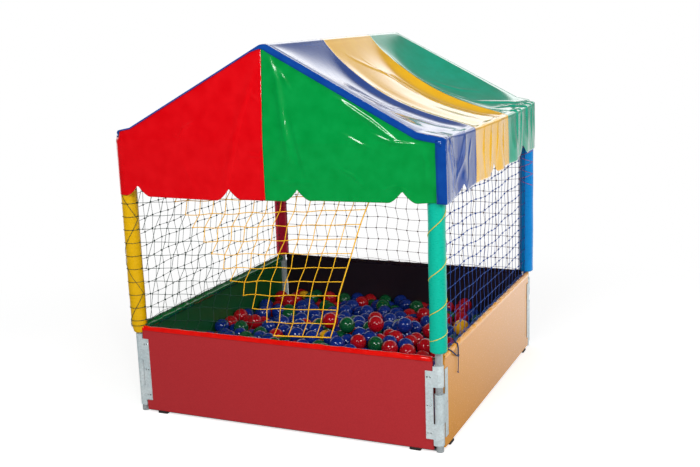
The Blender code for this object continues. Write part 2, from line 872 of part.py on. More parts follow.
def bed_cells():
    """Centres of the balls of the top layer, row by row, clear of the boards and posts."""
    row_pitch = ball_pitch * math.sqrt(3) / 2
    half = board_inner - touch_gap
    rows = int((half - ball_pitch / math.sqrt(3)) / row_pitch)
    cells = []
    for r in range(-rows, rows + 1):
        shift = ball_pitch / 2 if r % 2 else 0
        columns = int((half - ball_pitch / 2 - shift) / ball_pitch)
        steps = range(-columns - (1 if shift else 0), columns + 1)
        for c in steps:
            x, y = c * ball_pitch + shift, r * row_pitch
            if math.hypot(abs(x) - post_axis, abs(y) - post_axis) > ball_pitch:
                cells.append((x, y))
    return cells


def make_ball_bed(paint):
    """One solid for the packed balls: a hexagon for each, domed up, over a flat underside."""
    bm = bmesh.new()
    rim_radius = ball_pitch / math.sqrt(3)
    rim = {}

    def rim_vertex(x, y):
        key = (round(2 * x / ball_pitch), round(2 * y / rim_radius))
        if key not in rim:
            height = bed_height(x, y) - ball_radius + bed_cell_rise
            rim[key] = bm.verts.new((x, y, height))
        return rim[key]

    for x, y in bed_cells():
        turns = [math.pi * (2 * k + 1) / 6 for k in range(6)]
        around = [rim_vertex(x + rim_radius * math.cos(a), y + rim_radius * math.sin(a)) for a in turns]
        top = bed_height(x, y)
        cap_height = top - ball_radius + math.sqrt(ball_radius**2 - bed_cap_radius**2)
        cap = []
        for k in range(3):
            angle = turns[2 * k]
            spot = (x + bed_cap_radius * math.cos(angle), y + bed_cap_radius * math.sin(angle), cap_height)
            cap.append(bm.verts.new(spot))
        bm.faces.new(cap)
        for k in range(3):
            corner, side, after = around[2 * k], around[2 * k + 1], around[(2 * k + 2) % 6]
            bm.faces.new((cap[k], corner, side))
            bm.faces.new((cap[k], side, cap[(k + 1) % 3]))
            bm.faces.new((cap[(k + 1) % 3], side, after))
    edge = [e for e in bm.edges if len(e.link_faces) == 1]
    down = bmesh.ops.extrude_edge_only(bm, edges=edge)["geom"]
    floor = [v for v in down if isinstance(v, bmesh.types.BMVert)]
    for vertex in floor:
        vertex.co.z = mat_thickness + touch_gap
    bmesh.ops.contextual_create(bm, geom=[e for e in bm.edges if len(e.link_faces) == 1])
    return finish("ball_bed", bm, paint, True)


def make_loose_ball(name, near, paint):
    """A ball in a hollow between three balls of the bed, near a place.

    It is turned so that three of its corners point at the balls under it.
    """
    cells = sorted(bed_cells(), key=lambda c: math.hypot(c[0] - near[0], c[1] - near[1]))
    corner = cells[0]
    x, y = corner[0], corner[1] - ball_pitch / math.sqrt(3)
    under = sorted(cells, key=lambda c: math.hypot(c[0] - x, c[1] - y))[:3]
    centres = [Vector((*cell, bed_height(*cell) - ball_radius)) for cell in under]
    reach = 2 * ball_radius + ball_rest_gap
    height = max(c.z + math.sqrt(reach**2 - (c.x - x) ** 2 - (c.y - y) ** 2) for c in centres)
    bm = bmesh.new()
    bmesh.ops.create_icosphere(bm, subdivisions=2, radius=ball_radius)
    lean = math.acos(math.sqrt((5 + 2 * math.sqrt(5)) / 15))
    turn = Matrix.Rotation(-math.pi / 2, 3, "Z") @ Matrix.Rotation(lean, 3, "Y")
    bmesh.ops.rotate(bm, verts=bm.verts, matrix=turn)
    place = Vector((x, y, height))
    bmesh.ops.translate(bm, verts=bm.verts, vec=place)
    finish(name, bm, paint, True, place)


# Cords


def make_cord(name, points, radius, paint):
    """A round cord along its points, with filled ends."""
    curve = bpy.data.curves.new(name, "CURVE")
    curve.dimensions = "3D"
    curve.bevel_depth = radius
    curve.bevel_resolution = 1
    curve.use_fill_caps = True
    spline = curve.splines.new("POLY")
    spline.points.add(len(points) - 1)
    for spot, point in zip(spline.points, points):
        spot.co = (*point, 1)
    curve.materials.append(paint)
    obj = bpy.data.objects.new(name, curve)
    bpy.context.scene.collection.objects.link(obj)


def lashing_route():
    """A winding up the front right foam sleeve, with its turns further apart towards the top."""
    steps = lashing_turns * lashing_points_per_turn
    points = []
    for n in range(steps + 1):
        share = n / steps
        angle = 2 * math.pi * lashing_turns * share
        rise = (lashing_top - lashing_bottom) * share**lashing_pitch_power
        x = post_axis + lashing_path_radius * math.cos(angle)
        y = -post_axis + lashing_path_radius * math.sin(angle)
        points.append((x, y, lashing_bottom + rise))
    return points


def tie_route():
    """The right net's tied end: over the board's trim and down its outer side."""
    crown = board_top + touch_gap + trim_wall + tie_radius + touch_gap
    outside = pit_width / 2 + tie_radius + tie_stand_off
    drop = crown - tie_tail_bottom
    inside = post_axis + net_thickness / 2 + tie_radius + touch_gap
    across_shares = (0, 0.35, 0.7, 0.93, 1, 1, 1, 1, 1, 1, 1, 1)
    down_shares = (0, 0, 0, 0, 0.04, 0.14, 0.26, 0.4, 0.55, 0.7, 0.85, 1)
    points = []
    for across, down in zip(across_shares, down_shares):
        x = inside + (outside - inside) * across
        y = -tie_place + tie_lean * math.sin(math.pi * down)
        points.append((x, y, crown - drop * down))
    return points


def build():
    clear_scene()
    steel = material("galvanised_steel", "b9c4c9", 0.38, 0.9)
    zinc = material("zinc_plated_leaf", "c3ccd0", 0.34, 0.9)
    rubber = material("black_rubber", "17181a", 0.7)
    board_paints = {
        "front": material("board_red", "b03232", 0.45),
        "back": material("board_aubergine", "2a2230", 0.5),
        "left": material("board_green", "0f8a3c", 0.45),
        "right": material("board_orange", "e0a24a", 0.45),
    }
    trim_paints = {
        "front": material("trim_red", "dc1408", 0.35),
        "back": material("trim_blue", "223a6e", 0.4),
        "left": material("trim_green", "12984a", 0.35),
        "right": material("trim_yellow", "f5b41e", 0.35),
    }
    foam_paints = {
        "front_left": material("foam_yellow", "f0bc00", 0.6),
        "front_right": material("foam_teal", "00b496", 0.6),
        "back_left": material("foam_crimson", "96142d", 0.6),
        "back_right": material("foam_blue", "006ebe", 0.6),
    }
    cover_paints = {
        "blue": material("vinyl_blue", "0a46b4", 0.25),
        "yellow": material("vinyl_yellow", "fabe14", 0.25),
        "teal": material("vinyl_teal", "00966e", 0.25),
        "red": material("vinyl_red", "d7000f", 0.25),
        "green": material("vinyl_green", "00963c", 0.25),
    }
    for side in SIDES:
        make_board(side, board_paints[side])
        make_trim(side, trim_paints[side])
        make_feet(side, rubber)
        make_rail(side, steel)
    make_mat(material("mat_foam", "3c6eb4", 0.7))
    for name, corner in CORNERS.items():
        make_hinge(name, corner, zinc)
        make_post(name, corner, steel, foam_paints[name])
    roof = empty("roof_frame", (0, 0, rail_height))
    roof_steel = material("roof_tube_steel", "b4bec3", 0.4, 0.9)
    make_roof_frame(roof, roof_steel)
    cover = empty("cover", (0, 0, rail_height))
    make_cover(cover, cover_paints)
    make_side_net("left", material("net_dark_green", "1e4632", 0.8))
    make_side_net("back", material("net_dark_red", "5a2832", 0.8))
    make_side_net("right", material("net_blue", "143c8c", 0.8))
    make_front_net(material("net_green", "1a6e3c", 0.8), material("net_yellow", "f0c814", 0.8))
    ball_paints = {
        "blue": material("ball_blue", "1432a0", 0.2),
        "red": material("ball_red", "c81e28", 0.2),
        "green": material("ball_green", "147846", 0.2),
        "yellow": material("ball_yellow", "f0c81e", 0.2),
    }
    make_ball_bed(ball_paints["blue"])
    for name, shares in loose_ball_shares.items():
        near = [share * board_inner for share in shares]
        make_loose_ball(f"loose_ball_{name}", near, ball_paints[name.split("_")[0]])
    make_cord("foam_lashing_cord", lashing_route(), lashing_radius, material("cord_yellow", "e6c81e", 0.7))
    make_cord("net_tie_tail", tie_route(), tie_radius, material("cord_blue", "143278", 0.7))


build()
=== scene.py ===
# %% [markdown]
# # A covered ball pit
#
# The real object is a square pit of four hinged boards, about 1.5 m wide, full of 80 mm plastic balls.
# Padded posts stand at its corners, nets close three sides and part of the front, and a tented vinyl
# cover lies over a frame of bent steel tube. The rigid parts come from the CAD model as they are. This
# script gives them their finishes, makes every soft part and the balls, and sets up the light and camera.

import math
import bpy
import numpy as np
from mathutils import Matrix, Vector


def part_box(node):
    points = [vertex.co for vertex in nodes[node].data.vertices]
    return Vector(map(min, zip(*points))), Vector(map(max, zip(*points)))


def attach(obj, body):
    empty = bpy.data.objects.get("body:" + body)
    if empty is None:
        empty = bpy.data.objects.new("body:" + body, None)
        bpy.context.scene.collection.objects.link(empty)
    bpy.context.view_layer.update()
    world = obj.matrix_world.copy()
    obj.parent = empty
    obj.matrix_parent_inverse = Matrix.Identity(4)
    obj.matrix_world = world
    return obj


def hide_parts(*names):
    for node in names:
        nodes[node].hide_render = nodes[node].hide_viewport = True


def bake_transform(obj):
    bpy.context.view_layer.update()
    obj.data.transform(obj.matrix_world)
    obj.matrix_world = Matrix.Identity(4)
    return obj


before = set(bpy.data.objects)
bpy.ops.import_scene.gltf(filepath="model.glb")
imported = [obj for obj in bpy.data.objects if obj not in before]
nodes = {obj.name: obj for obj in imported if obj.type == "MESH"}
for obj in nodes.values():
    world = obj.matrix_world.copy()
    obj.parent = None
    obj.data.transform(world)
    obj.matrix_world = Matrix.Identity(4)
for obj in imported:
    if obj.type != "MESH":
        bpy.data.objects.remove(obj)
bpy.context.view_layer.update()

# %% [markdown]
# ## The camera
#
# The photograph was taken from the front right, a little above the eaves. The camera was fitted to the
# square footprint and the heights of the boards and posts, so it has a small roll as well.

# %% The camera
camera_place = (2.0273, -4.5201, 1.8084)
camera_yaw, camera_pitch, camera_roll = -0.4160, 0.2133, -0.0343


def camera_axes():
    """Right, up and back of the camera, from its yaw, pitch and roll."""
    forward = Vector((
        math.sin(camera_yaw) * math.cos(camera_pitch),
        math.cos(camera_yaw) * math.cos(camera_pitch),
        -math.sin(camera_pitch),
    ))
    level = Vector((math.cos(camera_yaw), -math.sin(camera_yaw), 0))
    above = level.cross(forward)
    right = level * math.cos(camera_roll) + above * math.sin(camera_roll)
    up = above * math.cos(camera_roll) - level * math.sin(camera_roll)
    return right, up, -forward


camera_data = bpy.data.cameras.new("camera")
camera_data.lens, camera_data.sensor_width = 52.85, 36
camera = bpy.data.objects.new("camera", camera_data)
turn = Matrix(camera_axes()).transposed().to_4x4()
camera.matrix_world = Matrix.Translation(camera_place) @ turn
bpy.context.collection.objects.link(camera)
bpy.context.scene.camera = camera
print("camera at", camera_place, "lens", camera_data.lens)

# %% [markdown]
# ## Small helpers
#
# Colours are written as sRGB hex values, as a paint chart gives them, and turned to the linear values
# that the shaders work in. One function adds a node with its settings and links, in shader trees and in
# Geometry Nodes trees alike. Meshes are made from grids of points, which suits cloth, tubes and trims.

# %% Helpers for colours and nodes
def linear(hex_colour):
    """Turns an sRGB hex colour into the linear colour of a shader socket."""
    parts = [int(hex_colour[n : n + 2], 16) / 255 for n in (1, 3, 5)]
    return [*(p / 12.92 if p <= 0.04045 else ((p + 0.055) / 1.055) ** 2.4 for p in parts), 1.0]


def add_node(tree, kind, inputs=None, **settings):
    """Adds a node. An input is a value, or the output socket of another node."""
    node = tree.nodes.new(kind)
    for name, value in settings.items():
        setattr(node, name, value)
    for socket, value in (inputs or {}).items():
        if isinstance(value, bpy.types.NodeSocket):
            tree.links.new(value, node.inputs[socket])
        else:
            node.inputs[socket].default_value = value
    return node


# %% Helpers for meshes
def add_mesh(name, points, faces, material, smooth=True):
    """A mesh object with its place in its mesh."""
    mesh = bpy.data.meshes.new(name)
    mesh.from_pydata([tuple(map(float, p)) for p in points], [], faces)
    mesh.polygons.foreach_set("use_smooth", [smooth] * len(mesh.polygons))
    mesh.materials.append(material)
    mesh.update()
    piece = bpy.data.objects.new(name, mesh)
    bpy.context.collection.objects.link(piece)
    return piece


def grid_faces(rows, columns, closed_rows=False, closed_columns=False, flip=False):
    """Quads between the points of a grid, listed row by row."""
    faces = []
    for r in range(rows if closed_rows else rows - 1):
        for c in range(columns if closed_columns else columns - 1):
            s, d = (r + 1) % rows, (c + 1) % columns
            quad = (r * columns + c, r * columns + d, s * columns + d, s * columns + c)
            faces.append(quad[::-1] if flip else quad)
    return faces


def waves(seed, across, along, first, second, count=14):
    """Smooth random height, about -2 to 2: plane waves of mostly one direction, from a fixed seed."""
    chance = np.random.default_rng(seed)
    total = np.zeros(np.broadcast(first, second).shape)
    for _ in range(count):
        a = 2 * math.pi / across * chance.uniform(0.6, 1.5) * chance.choice([-1, 1])
        b = 2 * math.pi / along * chance.uniform(-1.3, 1.3)
        total = total + np.cos(a * first + b * second + chance.uniform(0, 2 * math.pi))
    return total * math.sqrt(2 / count)


def smooth_step(value, low, high):
    """0 below low, 1 above high, and a smooth rise between."""
    share = np.clip((np.asarray(value, float) - low) / (high - low), 0, 1)
    return share * share * (3 - 2 * share)


# %% [markdown]
# ## Finishes
#
# Each finish starts from what the real one is. Most of them share one recipe: a pattern in object
# coordinates, at a real size in millimetres, that shifts the colour between two close tones, changes the
# roughness a little and lifts the surface by a fraction of a millimetre.

# %% The shared recipe
def finish(name, tones, grain_mm, roughness, lift_mm, stretch=(1, 1, 1), detail=3.0, **single):
    """A material from two tones and one noise. Single values go straight on the shader's sockets."""
    material = bpy.data.materials.new(name)
    material.use_nodes = True
    tree = material.node_tree
    shader = tree.nodes["Principled BSDF"]
    place = add_node(tree, "ShaderNodeTexCoord")
    sized = add_node(tree, "ShaderNodeMapping", {"Vector": place.outputs["Object"], "Scale": stretch})
    noise = add_node(tree, "ShaderNodeTexNoise", {
        "Vector": sized.outputs[0], "Scale": 1000 / grain_mm, "Detail": detail, "Roughness": 0.55})
    most_of_it = {"Value": noise.outputs[0], "From Min": 0.3, "From Max": 0.7}
    spread = add_node(tree, "ShaderNodeMapRange", most_of_it)
    colour = add_node(tree, "ShaderNodeMix", {
        0: spread.outputs[0], 6: linear(tones[0]), 7: linear(tones[1])}, data_type="RGBA")
    rough = add_node(tree, "ShaderNodeMapRange", {
        **most_of_it, "To Min": roughness[0], "To Max": roughness[1]})
    bump = add_node(tree, "ShaderNodeBump", {"Height": noise.outputs[0], "Distance": lift_mm / 1000})
    tree.links.new(colour.outputs[2], shader.inputs["Base Color"])
    tree.links.new(rough.outputs[0], shader.inputs["Roughness"])
    tree.links.new(bump.outputs[0], shader.inputs["Normal"])
    for socket, value in single.items():
        shader.inputs[socket.replace("_", " ").title().replace("Ior", "IOR")].default_value = value
    return material


# %% [markdown]
# ### Metals
#
# The hinge leaves, posts, rails and arches are galvanised or zinc plated steel. Hot-dip zinc freezes in
# crystals 5 to 15 mm across, the spangle, which shows as patches of slightly different tone and gloss. A
# Voronoi pattern has exactly that look: each cell gets its own grey.

# %% Galvanised steel
def galvanised(name, tones, spangle_mm, roughness, metal=1.0):
    """Zinc: the recipe's grey, times the tone of each crystal. Weathered zinc is less of a mirror."""
    material = finish(name, tones, 60, roughness, 0.05, metallic=metal)
    tree = material.node_tree
    made = {node.bl_idname: node for node in tree.nodes}
    place, colour = made["ShaderNodeTexCoord"], made["ShaderNodeMix"]
    cells = add_node(tree, "ShaderNodeTexVoronoi", {
        "Vector": place.outputs["Object"], "Scale": 1000 / spangle_mm})
    grey = add_node(tree, "ShaderNodeRGBToBW", {0: cells.outputs["Color"]})
    shade = add_node(tree, "ShaderNodeMapRange", {"Value": grey.outputs[0], "To Min": 0.82, "To Max": 1.06})
    spangle = add_node(tree, "ShaderNodeMix", {
        0: 1.0, 6: colour.outputs[2], 7: shade.outputs[0]}, data_type="RGBA", blend_type="MULTIPLY")
    tree.links.new(spangle.outputs[2], tree.nodes["Principled BSDF"].inputs["Base Color"])
    return material


post_zinc = galvanised("hot_dip_galvanised_tube", ("#B8C2C6", "#CCD4D6"), 9, (0.26, 0.38), 0.5)
leaf_zinc = galvanised("zinc_plated_leaf_steel", ("#C8D8DC", "#DAE6E8"), 7, (0.38, 0.52), 0.2)
roof_zinc = galvanised("galvanised_roof_tube", ("#AEB6BA", "#C6CDD0"), 9, (0.32, 0.44))
screw_zinc = galvanised("zinc_plated_screws", ("#D6DADB", "#E6E9EA"), 4, (0.22, 0.34))
print("metals:", [metal.name for metal in (post_zinc, leaf_zinc, roof_zinc, screw_zinc)])

# %% [markdown]
# ### Painted boards, rubber and mat
#
# The boards are wood panels with a satin enamel put on by roller. The roller leaves a faint orange peel,
# a few millimetres from dimple to dimple. The feet are moulded rubber, dull and slightly speckled.

# %% Boards, rubber and mat
board_red = finish("red_satin_enamel_board", ("#A82329", "#B2292E"), 5, (0.33, 0.42), 0.12,
                   specular_ior_level=0.3)
board_orange = finish("orange_satin_enamel_board", ("#DC942E", "#E39C38"), 5, (0.20, 0.28), 0.12)
board_green = finish("green_satin_enamel_board", ("#0F5226", "#14642E"), 5, (0.35, 0.45), 0.12)
board_aubergine = finish("aubergine_satin_enamel_board", ("#211720", "#2A1E29"), 5, (0.33, 0.45), 0.12)
side_boards = {"front": board_red, "right": board_orange, "left": board_green, "back": board_aubergine}
foot_rubber = finish("moulded_black_rubber", ("#1C1A19", "#2B2826"), 3, (0.6, 0.8), 0.15)
mat_cloth = finish("grey_mat_cloth", ("#5E6468", "#6D7478"), 6, (0.6, 0.75), 0.3)
print("boards:", {side: board.name for side, board in side_boards.items()})

# %% [markdown]
# ### Vinyl, foam covers, cord and balls
#
# The cover, the trims and the skins of the foam sleeves are glossy plasticised vinyl (PVC), the cover's
# on a woven base. Its gloss comes from a low roughness with soft ripples some centimetres long, so the
# highlights break up as they do on a sheet that has been folded. The balls are blow moulded polyethylene.

# %% Vinyl of the cover and the trims
def vinyl(name, tones, roughness=(0.16, 0.26), lift_mm=0.25, gloss=1.0):
    """A clear skin lies over the colour, so at a grazing view the cloth turns nearly white."""
    return finish(name, tones, 60, roughness, lift_mm, detail=2.0, ior=1.5,
                  specular_ior_level=0.15, coat_weight=gloss, coat_ior=1.5, coat_roughness=0.07)


vinyl_red = vinyl("red_cover_vinyl", ("#D2000A", "#DB0410"))
vinyl_green = vinyl("green_cover_vinyl", ("#008A38", "#009440"))
vinyl_blue = vinyl("blue_cover_vinyl", ("#073C8E", "#0A4698"))
vinyl_yellow = vinyl("yellow_cover_vinyl", ("#F8BA00", "#FCC206"))
vinyl_teal = vinyl("teal_cover_vinyl", ("#00A07C", "#00AA88"))

trim_red = vinyl("red_trim_vinyl", ("#D40806", "#E01208"), (0.12, 0.2), 0.9)
trim_yellow = vinyl("yellow_trim_vinyl", ("#F0A010", "#F5AA1E"), (0.12, 0.2), 0.9, 0.6)
trim_green = vinyl("green_trim_vinyl", ("#0C6C33", "#107A3C"), (0.12, 0.2), 0.9)
trim_blue = vinyl("aubergine_trim_vinyl", ("#1D141D", "#271C28"), (0.12, 0.2), 0.9)
print("finishes so far:", len(bpy.data.materials))


# %% Skins of the foam sleeves
def foam_skin(name, tones, creases_mm):
    """Thin vinyl round foam: it creases in short ticks across the sleeve, so the noise is squeezed."""
    return finish(name, tones, creases_mm * 3, (0.26, 0.36), 0.7, stretch=(1, 1, 3.2), detail=2.5,
                  specular_ior_level=0.2)


foam_yellow = foam_skin("yellow_foam_skin", ("#D4A400", "#DCAC02"), 10)
foam_teal = foam_skin("teal_foam_skin", ("#00AA90", "#00B49A"), 5)
foam_crimson = foam_skin("crimson_foam_skin", ("#DC1840", "#E62048"), 10)
foam_blue = foam_skin("blue_foam_skin", ("#0088DA", "#0290E2"), 10)
print("finishes so far:", len(bpy.data.materials))


# %% Twine and cord
def twine(name, tones):
    """Twisted polyethylene thread. The lay of its strands, about 2 mm, is drawn a little coarser."""
    return finish(name, tones, 4, (0.45, 0.6), 0.4)


twine_green = twine("dark_green_net_twine", ("#12342A", "#1A4636"))
twine_red = twine("dark_red_net_twine", ("#4F222B", "#632C38"))
twine_blue = twine("blue_net_twine", ("#0B3F93", "#124DA8"))
twine_yellow = twine("yellow_net_twine", ("#F5B400", "#FFC60A"))
lashing_yellow = twine("yellow_lashing_cord", ("#E0BE00", "#F0CE14"))
tie_blue = twine("blue_tie_cord", ("#0A2A58", "#0F356C"))
print("finishes so far:", len(bpy.data.materials))


# %% Plastic of the balls
def ball_plastic(name, tones):
    """Blow moulded polyethylene: even, glossy, with a faint haze of scuffs."""
    return finish(name, tones, 25, (0.07, 0.13), 0.1, ior=1.52)


ball_paints = {
    "blue": ball_plastic("blue_ball_polyethylene", ("#0A2574", "#0F2F86")),
    "red": ball_plastic("red_ball_polyethylene", ("#A00816", "#B00E1C")),
    "green": ball_plastic("green_ball_polyethylene", ("#084A28", "#0C5830")),
    "yellow": ball_plastic("yellow_ball_polyethylene", ("#D89C0A", "#E4AA16")),
}
print("finishes:", len(bpy.data.materials))

# %% [markdown]
# ### Finishes of the CAD parts
#
# The rigid CAD parts keep their shape and get the finishes above, by the names they have in model.glb.

# %% Put the finishes on the CAD parts
for name, node in nodes.items():
    if name in ("front_panel", "back_panel", "left_panel", "right_panel"):
        paint = side_boards[name.split("_")[0]]
    elif name.endswith("_foot"):
        paint = foot_rubber
    elif name.endswith("_leaf"):
        paint = leaf_zinc
    elif name.endswith("_post"):
        paint = post_zinc
    elif name.endswith(("_rail", "_arch", "_tube")):
        paint = roof_zinc
    else:
        continue
    for holder in node.material_slots:
        holder.material = paint
print("rigid CAD parts have their finishes")

# %% [markdown]
# ## Threads, cords and beads with Geometry Nodes
#
# Nets, lashings and stitches are all the same idea: a thin round thread along a path, with a knot
# wherever two threads meet. One Geometry Nodes tree does this for any set of paths. The paths are chains
# of edges, and a knot sits on each point whose "knot" attribute is set.

# %% The thread tree
def group_tree(name, sizes):
    """A Geometry Nodes group with a geometry input, named sizes and a material."""
    tree = bpy.data.node_groups.new(name, "GeometryNodeTree")
    face = tree.interface
    face.new_socket("Geometry", in_out="INPUT", socket_type="NodeSocketGeometry")
    for size, (kind, value) in sizes.items():
        socket = face.new_socket(size, in_out="INPUT", socket_type=kind)
        socket.default_value = value
    face.new_socket("Material", in_out="INPUT", socket_type="NodeSocketMaterial")
    face.new_socket("Geometry", in_out="OUTPUT", socket_type="NodeSocketGeometry")
    return tree, add_node(tree, "NodeGroupInput"), add_node(tree, "NodeGroupOutput")


def end_tree(tree, given, result, geometry):
    """Every tree ends in real geometry that carries its material."""
    real = add_node(tree, "GeometryNodeRealizeInstances", {0: geometry})
    rounded = add_node(tree, "GeometryNodeSetShadeSmooth", {0: real.outputs[0]})
    painted = add_node(tree, "GeometryNodeSetMaterial", {
        "Geometry": rounded.outputs[0], "Material": given.outputs["Material"]})
    tree.links.new(painted.outputs[0], result.inputs[0])


def make_thread_tree():
    """A round thread along each chain of edges, and a bead on each point that is flagged as a knot."""
    tree, given, result = group_tree("threads_and_knots", {
        "Thread Radius": ("NodeSocketFloat", 0.0012),
        "Knot Radius": ("NodeSocketFloat", 0.003),
        "Sides": ("NodeSocketInt", 5),
    })
    path = add_node(tree, "GeometryNodeMeshToCurve", {0: given.outputs["Geometry"]})
    section = add_node(tree, "GeometryNodeCurvePrimitiveCircle", {
        "Resolution": given.outputs["Sides"], "Radius": given.outputs["Thread Radius"]})
    thread = add_node(tree, "GeometryNodeCurveToMesh", {
        "Curve": path.outputs[0], "Profile Curve": section.outputs[0], "Fill Caps": True})
    flag = add_node(tree, "GeometryNodeInputNamedAttribute", {"Name": "knot"}, data_type="BOOLEAN")
    bead = add_node(tree, "GeometryNodeMeshIcoSphere", {
        "Radius": given.outputs["Knot Radius"], "Subdivisions": 1})
    knots = add_node(tree, "GeometryNodeInstanceOnPoints", {
        "Points": given.outputs["Geometry"], "Selection": flag.outputs["Attribute"],
        "Instance": bead.outputs["Mesh"]})
    both = add_node(tree, "GeometryNodeJoinGeometry")
    tree.links.new(knots.outputs[0], both.inputs[0])
    tree.links.new(thread.outputs[0], both.inputs[0])
    end_tree(tree, given, result, both.outputs[0])
    return tree


# %% Run a tree
def bake(name, tree, points, edges, material, flags=None, vectors=None, **sizes):
    """Runs a tree on points and edges and keeps the result as a plain mesh."""
    mesh = bpy.data.meshes.new(name + "_paths")
    mesh.from_pydata([tuple(map(float, p)) for p in points], edges, [])
    for label, values in (flags or {}).items():
        mesh.attributes.new(label, "BOOLEAN", "POINT").data.foreach_set("value", values)
    for label, values in (vectors or {}).items():
        flat = np.asarray(values, np.float32).ravel()
        mesh.attributes.new(label, "FLOAT_VECTOR", "POINT").data.foreach_set("vector", flat)
    carrier = bpy.data.objects.new(name + "_carrier", mesh)
    bpy.context.collection.objects.link(carrier)
    modifier = carrier.modifiers.new("tree", "NODES")
    modifier.node_group = tree
    given = {size.replace("_", " ").title(): value for size, value in sizes.items()}
    given["Material"] = material
    for item in tree.interface.items_tree:
        if item.in_out == "INPUT" and item.name in given:
            modifier[item.identifier] = given[item.name]
    shown = carrier.evaluated_get(bpy.context.evaluated_depsgraph_get())
    made = bpy.data.meshes.new_from_object(shown)
    made.name = name
    bpy.data.objects.remove(carrier)
    piece = bpy.data.objects.new(name, made)
    bpy.context.collection.objects.link(piece)
    print(name, "faces:", len(made.polygons))
    return piece


thread_tree = make_thread_tree()
print("thread tree nodes:", len(thread_tree.nodes))

# %% [markdown]
# ## The knotted cord end
#
# The right net is tied off at the front right corner, and one end of its cord hangs down over the board.
# It is limp polyethylene cord, 3 mm thick, with a small knot at its end. It leaves the bundle of knots,
# crosses the trim and drops.

# %% The hanging cord end
tie_radius = 0.0015
tie_points = [
    (0.7333, -0.545, 0.4191), (0.74002, -0.545, 0.4191), (0.74674, -0.545, 0.4191),
    (0.75116, -0.545, 0.4191), (0.7525, -0.54425, 0.41386), (0.7525, -0.54244, 0.40075),
    (0.7525, -0.54063, 0.38501), (0.7525, -0.53929, 0.36666), (0.7525, -0.53907, 0.347),
    (0.7525, -0.54014, 0.32733), (0.7525, -0.54228, 0.30767), (0.7525, -0.545, 0.288),
]


def smooth_path(points, steps):
    """A Catmull-Rom curve through the points."""
    points = [np.array(p, float) for p in points]
    ends = [2 * points[0] - points[1], *points, 2 * points[-1] - points[-2]]
    path = []
    for a, b, c, d in zip(ends, ends[1:], ends[2:], ends[3:]):
        for n in range(steps):
            t = n / steps
            path.append(
                0.5 * (2 * b + (c - a) * t + (2 * a - 5 * b + 4 * c - d) * t**2
                       + (3 * b - a - 3 * c + d) * t**3)
            )
    return path + [points[-1]]


def lay_cord(name, path, material, radius, sides):
    """One plain cord along a path."""
    chain = [(n, n + 1) for n in range(len(path) - 1)]
    return bake(name, thread_tree, path, chain, material,
                flags={"knot": [False] * len(path)}, thread_radius=radius, sides=sides)


tie_path = smooth_path(tie_points, 3)
tie_length = float(sum(np.linalg.norm(b - a) for a, b in zip(tie_path, tie_path[1:])))
tie_tail = lay_cord("net_tie_cord_end", tie_path, tie_blue, tie_radius, 8)
knot_lumps = [tie_path[-1] + np.array(lump)
              for lump in ((0, 0, 0.002), (0.0012, 0.001, 0.0005), (-0.001, -0.0008, 0.003))]
end_knot = bake("net_tie_end_knot", thread_tree, knot_lumps, [], tie_blue,
                flags={"knot": [True] * len(knot_lumps)}, knot_radius=0.0029)
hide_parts("net_tie_tail")
for piece in (tie_tail, end_knot):
    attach(piece, "base")
[list(map(float, p)) for p in tie_path]
print("cord end is", round(tie_length, 4), "m long")

# %% [markdown]
# ## The cover's shape
#
# The cover is vinyl cloth cut in three stripes over the roof and two panels in each gable, sewn into one.
# Over each arch it is held on the tube. Between the arches it hangs slack, up to 85 mm lower. So a
# section across the ridge is found twice, held and slack, and each place along the ridge mixes the two.
# Each stripe sags a little more between its seams, but stays above the side rails. The cloth also
# creases downhill from the ridge, and its eaves hang in pleats. A cloth simulation was an option, but
# the folds in the photograph are long and few, and drawn ones can be put where they are.

# %% Sizes of the cover
ridge_height = 1.6727
crown_radius, crown_drop = 0.0532, 0.040
roof_angle = 0.48841
slope_end = 0.670
wall_reach = 0.7711
hem_height = 1.047
held_shelf, slack_shelf, corner_round = 1.3195, 1.306, 0.009
rail_height = 1.290
sag, sag_shift, hold_reach, hold_power = 0.085, 0.8, 0.7168, 4
ridge_inner_y = 0.7432
cloth_gap, cloth_thickness = 0.0018, 0.0011
band_stand, band_turn_stand, seam_gap = 0.0062, 0.0064, 0.0002
notch_depth, notch_half_width = 0.048, 0.060
side_notches = {"blue": (-0.527, -0.546), "yellow": (-0.032, -0.046), "green": (0.438, 0.480)}
front_notches = (-0.650, -0.186, 0.139, 0.603)
front_hem = ([-0.74, -0.26, -0.13, 0.09, 0.23, 0.50, 0.67, 0.74, 0.79],
             [1.036, 1.031, 1.039, 1.042, 1.050, 1.054, 1.057, 1.064, 1.067])
right_hem = ([-0.74, -0.60, -0.50, -0.33, -0.11, 0.23, 0.38, 0.59, 0.73],
             [1.060, 1.058, 1.055, 1.071, 1.067, 1.074, 1.080, 1.083, 1.085])
seam_shares = {
    "blue": {"ridge": -0.2673, "left": -0.3308, "right": -0.4346},
    "green": {"ridge": 0.4554, "left": 0.3399, "right": 0.2660},
}
gable_seam = -0.012
left_wrap = 0.026
bellies = {"blue": (0.009, 3.0), "yellow": (0.013, 4.4), "green": (0.022, 0.55)}  # depth, lean
print("cover:", ridge_height, "m high at the ridge,", hem_height, "at the hem")


# %% Planes, scallops and corners of the cover
def slackness(y):
    """0 over the arches, where the cloth is held, and 1 between them."""
    return 1 - np.clip(np.abs(y) / hold_reach, 0, 1) ** hold_power


def gable_face(height):
    """Distance of a gable panel from the pit's centre: it leans in above the eave."""
    share = np.clip((height - rail_height) / (ridge_height - rail_height), 0, None)
    return wall_reach + (ridge_inner_y - wall_reach) * share


def notch_rise(offset):
    """The scalloped hem: convex lobes that meet in a sharp cusp."""
    return notch_depth * (1 - np.clip(np.abs(offset) / notch_half_width, 0, 1)) ** 1.6


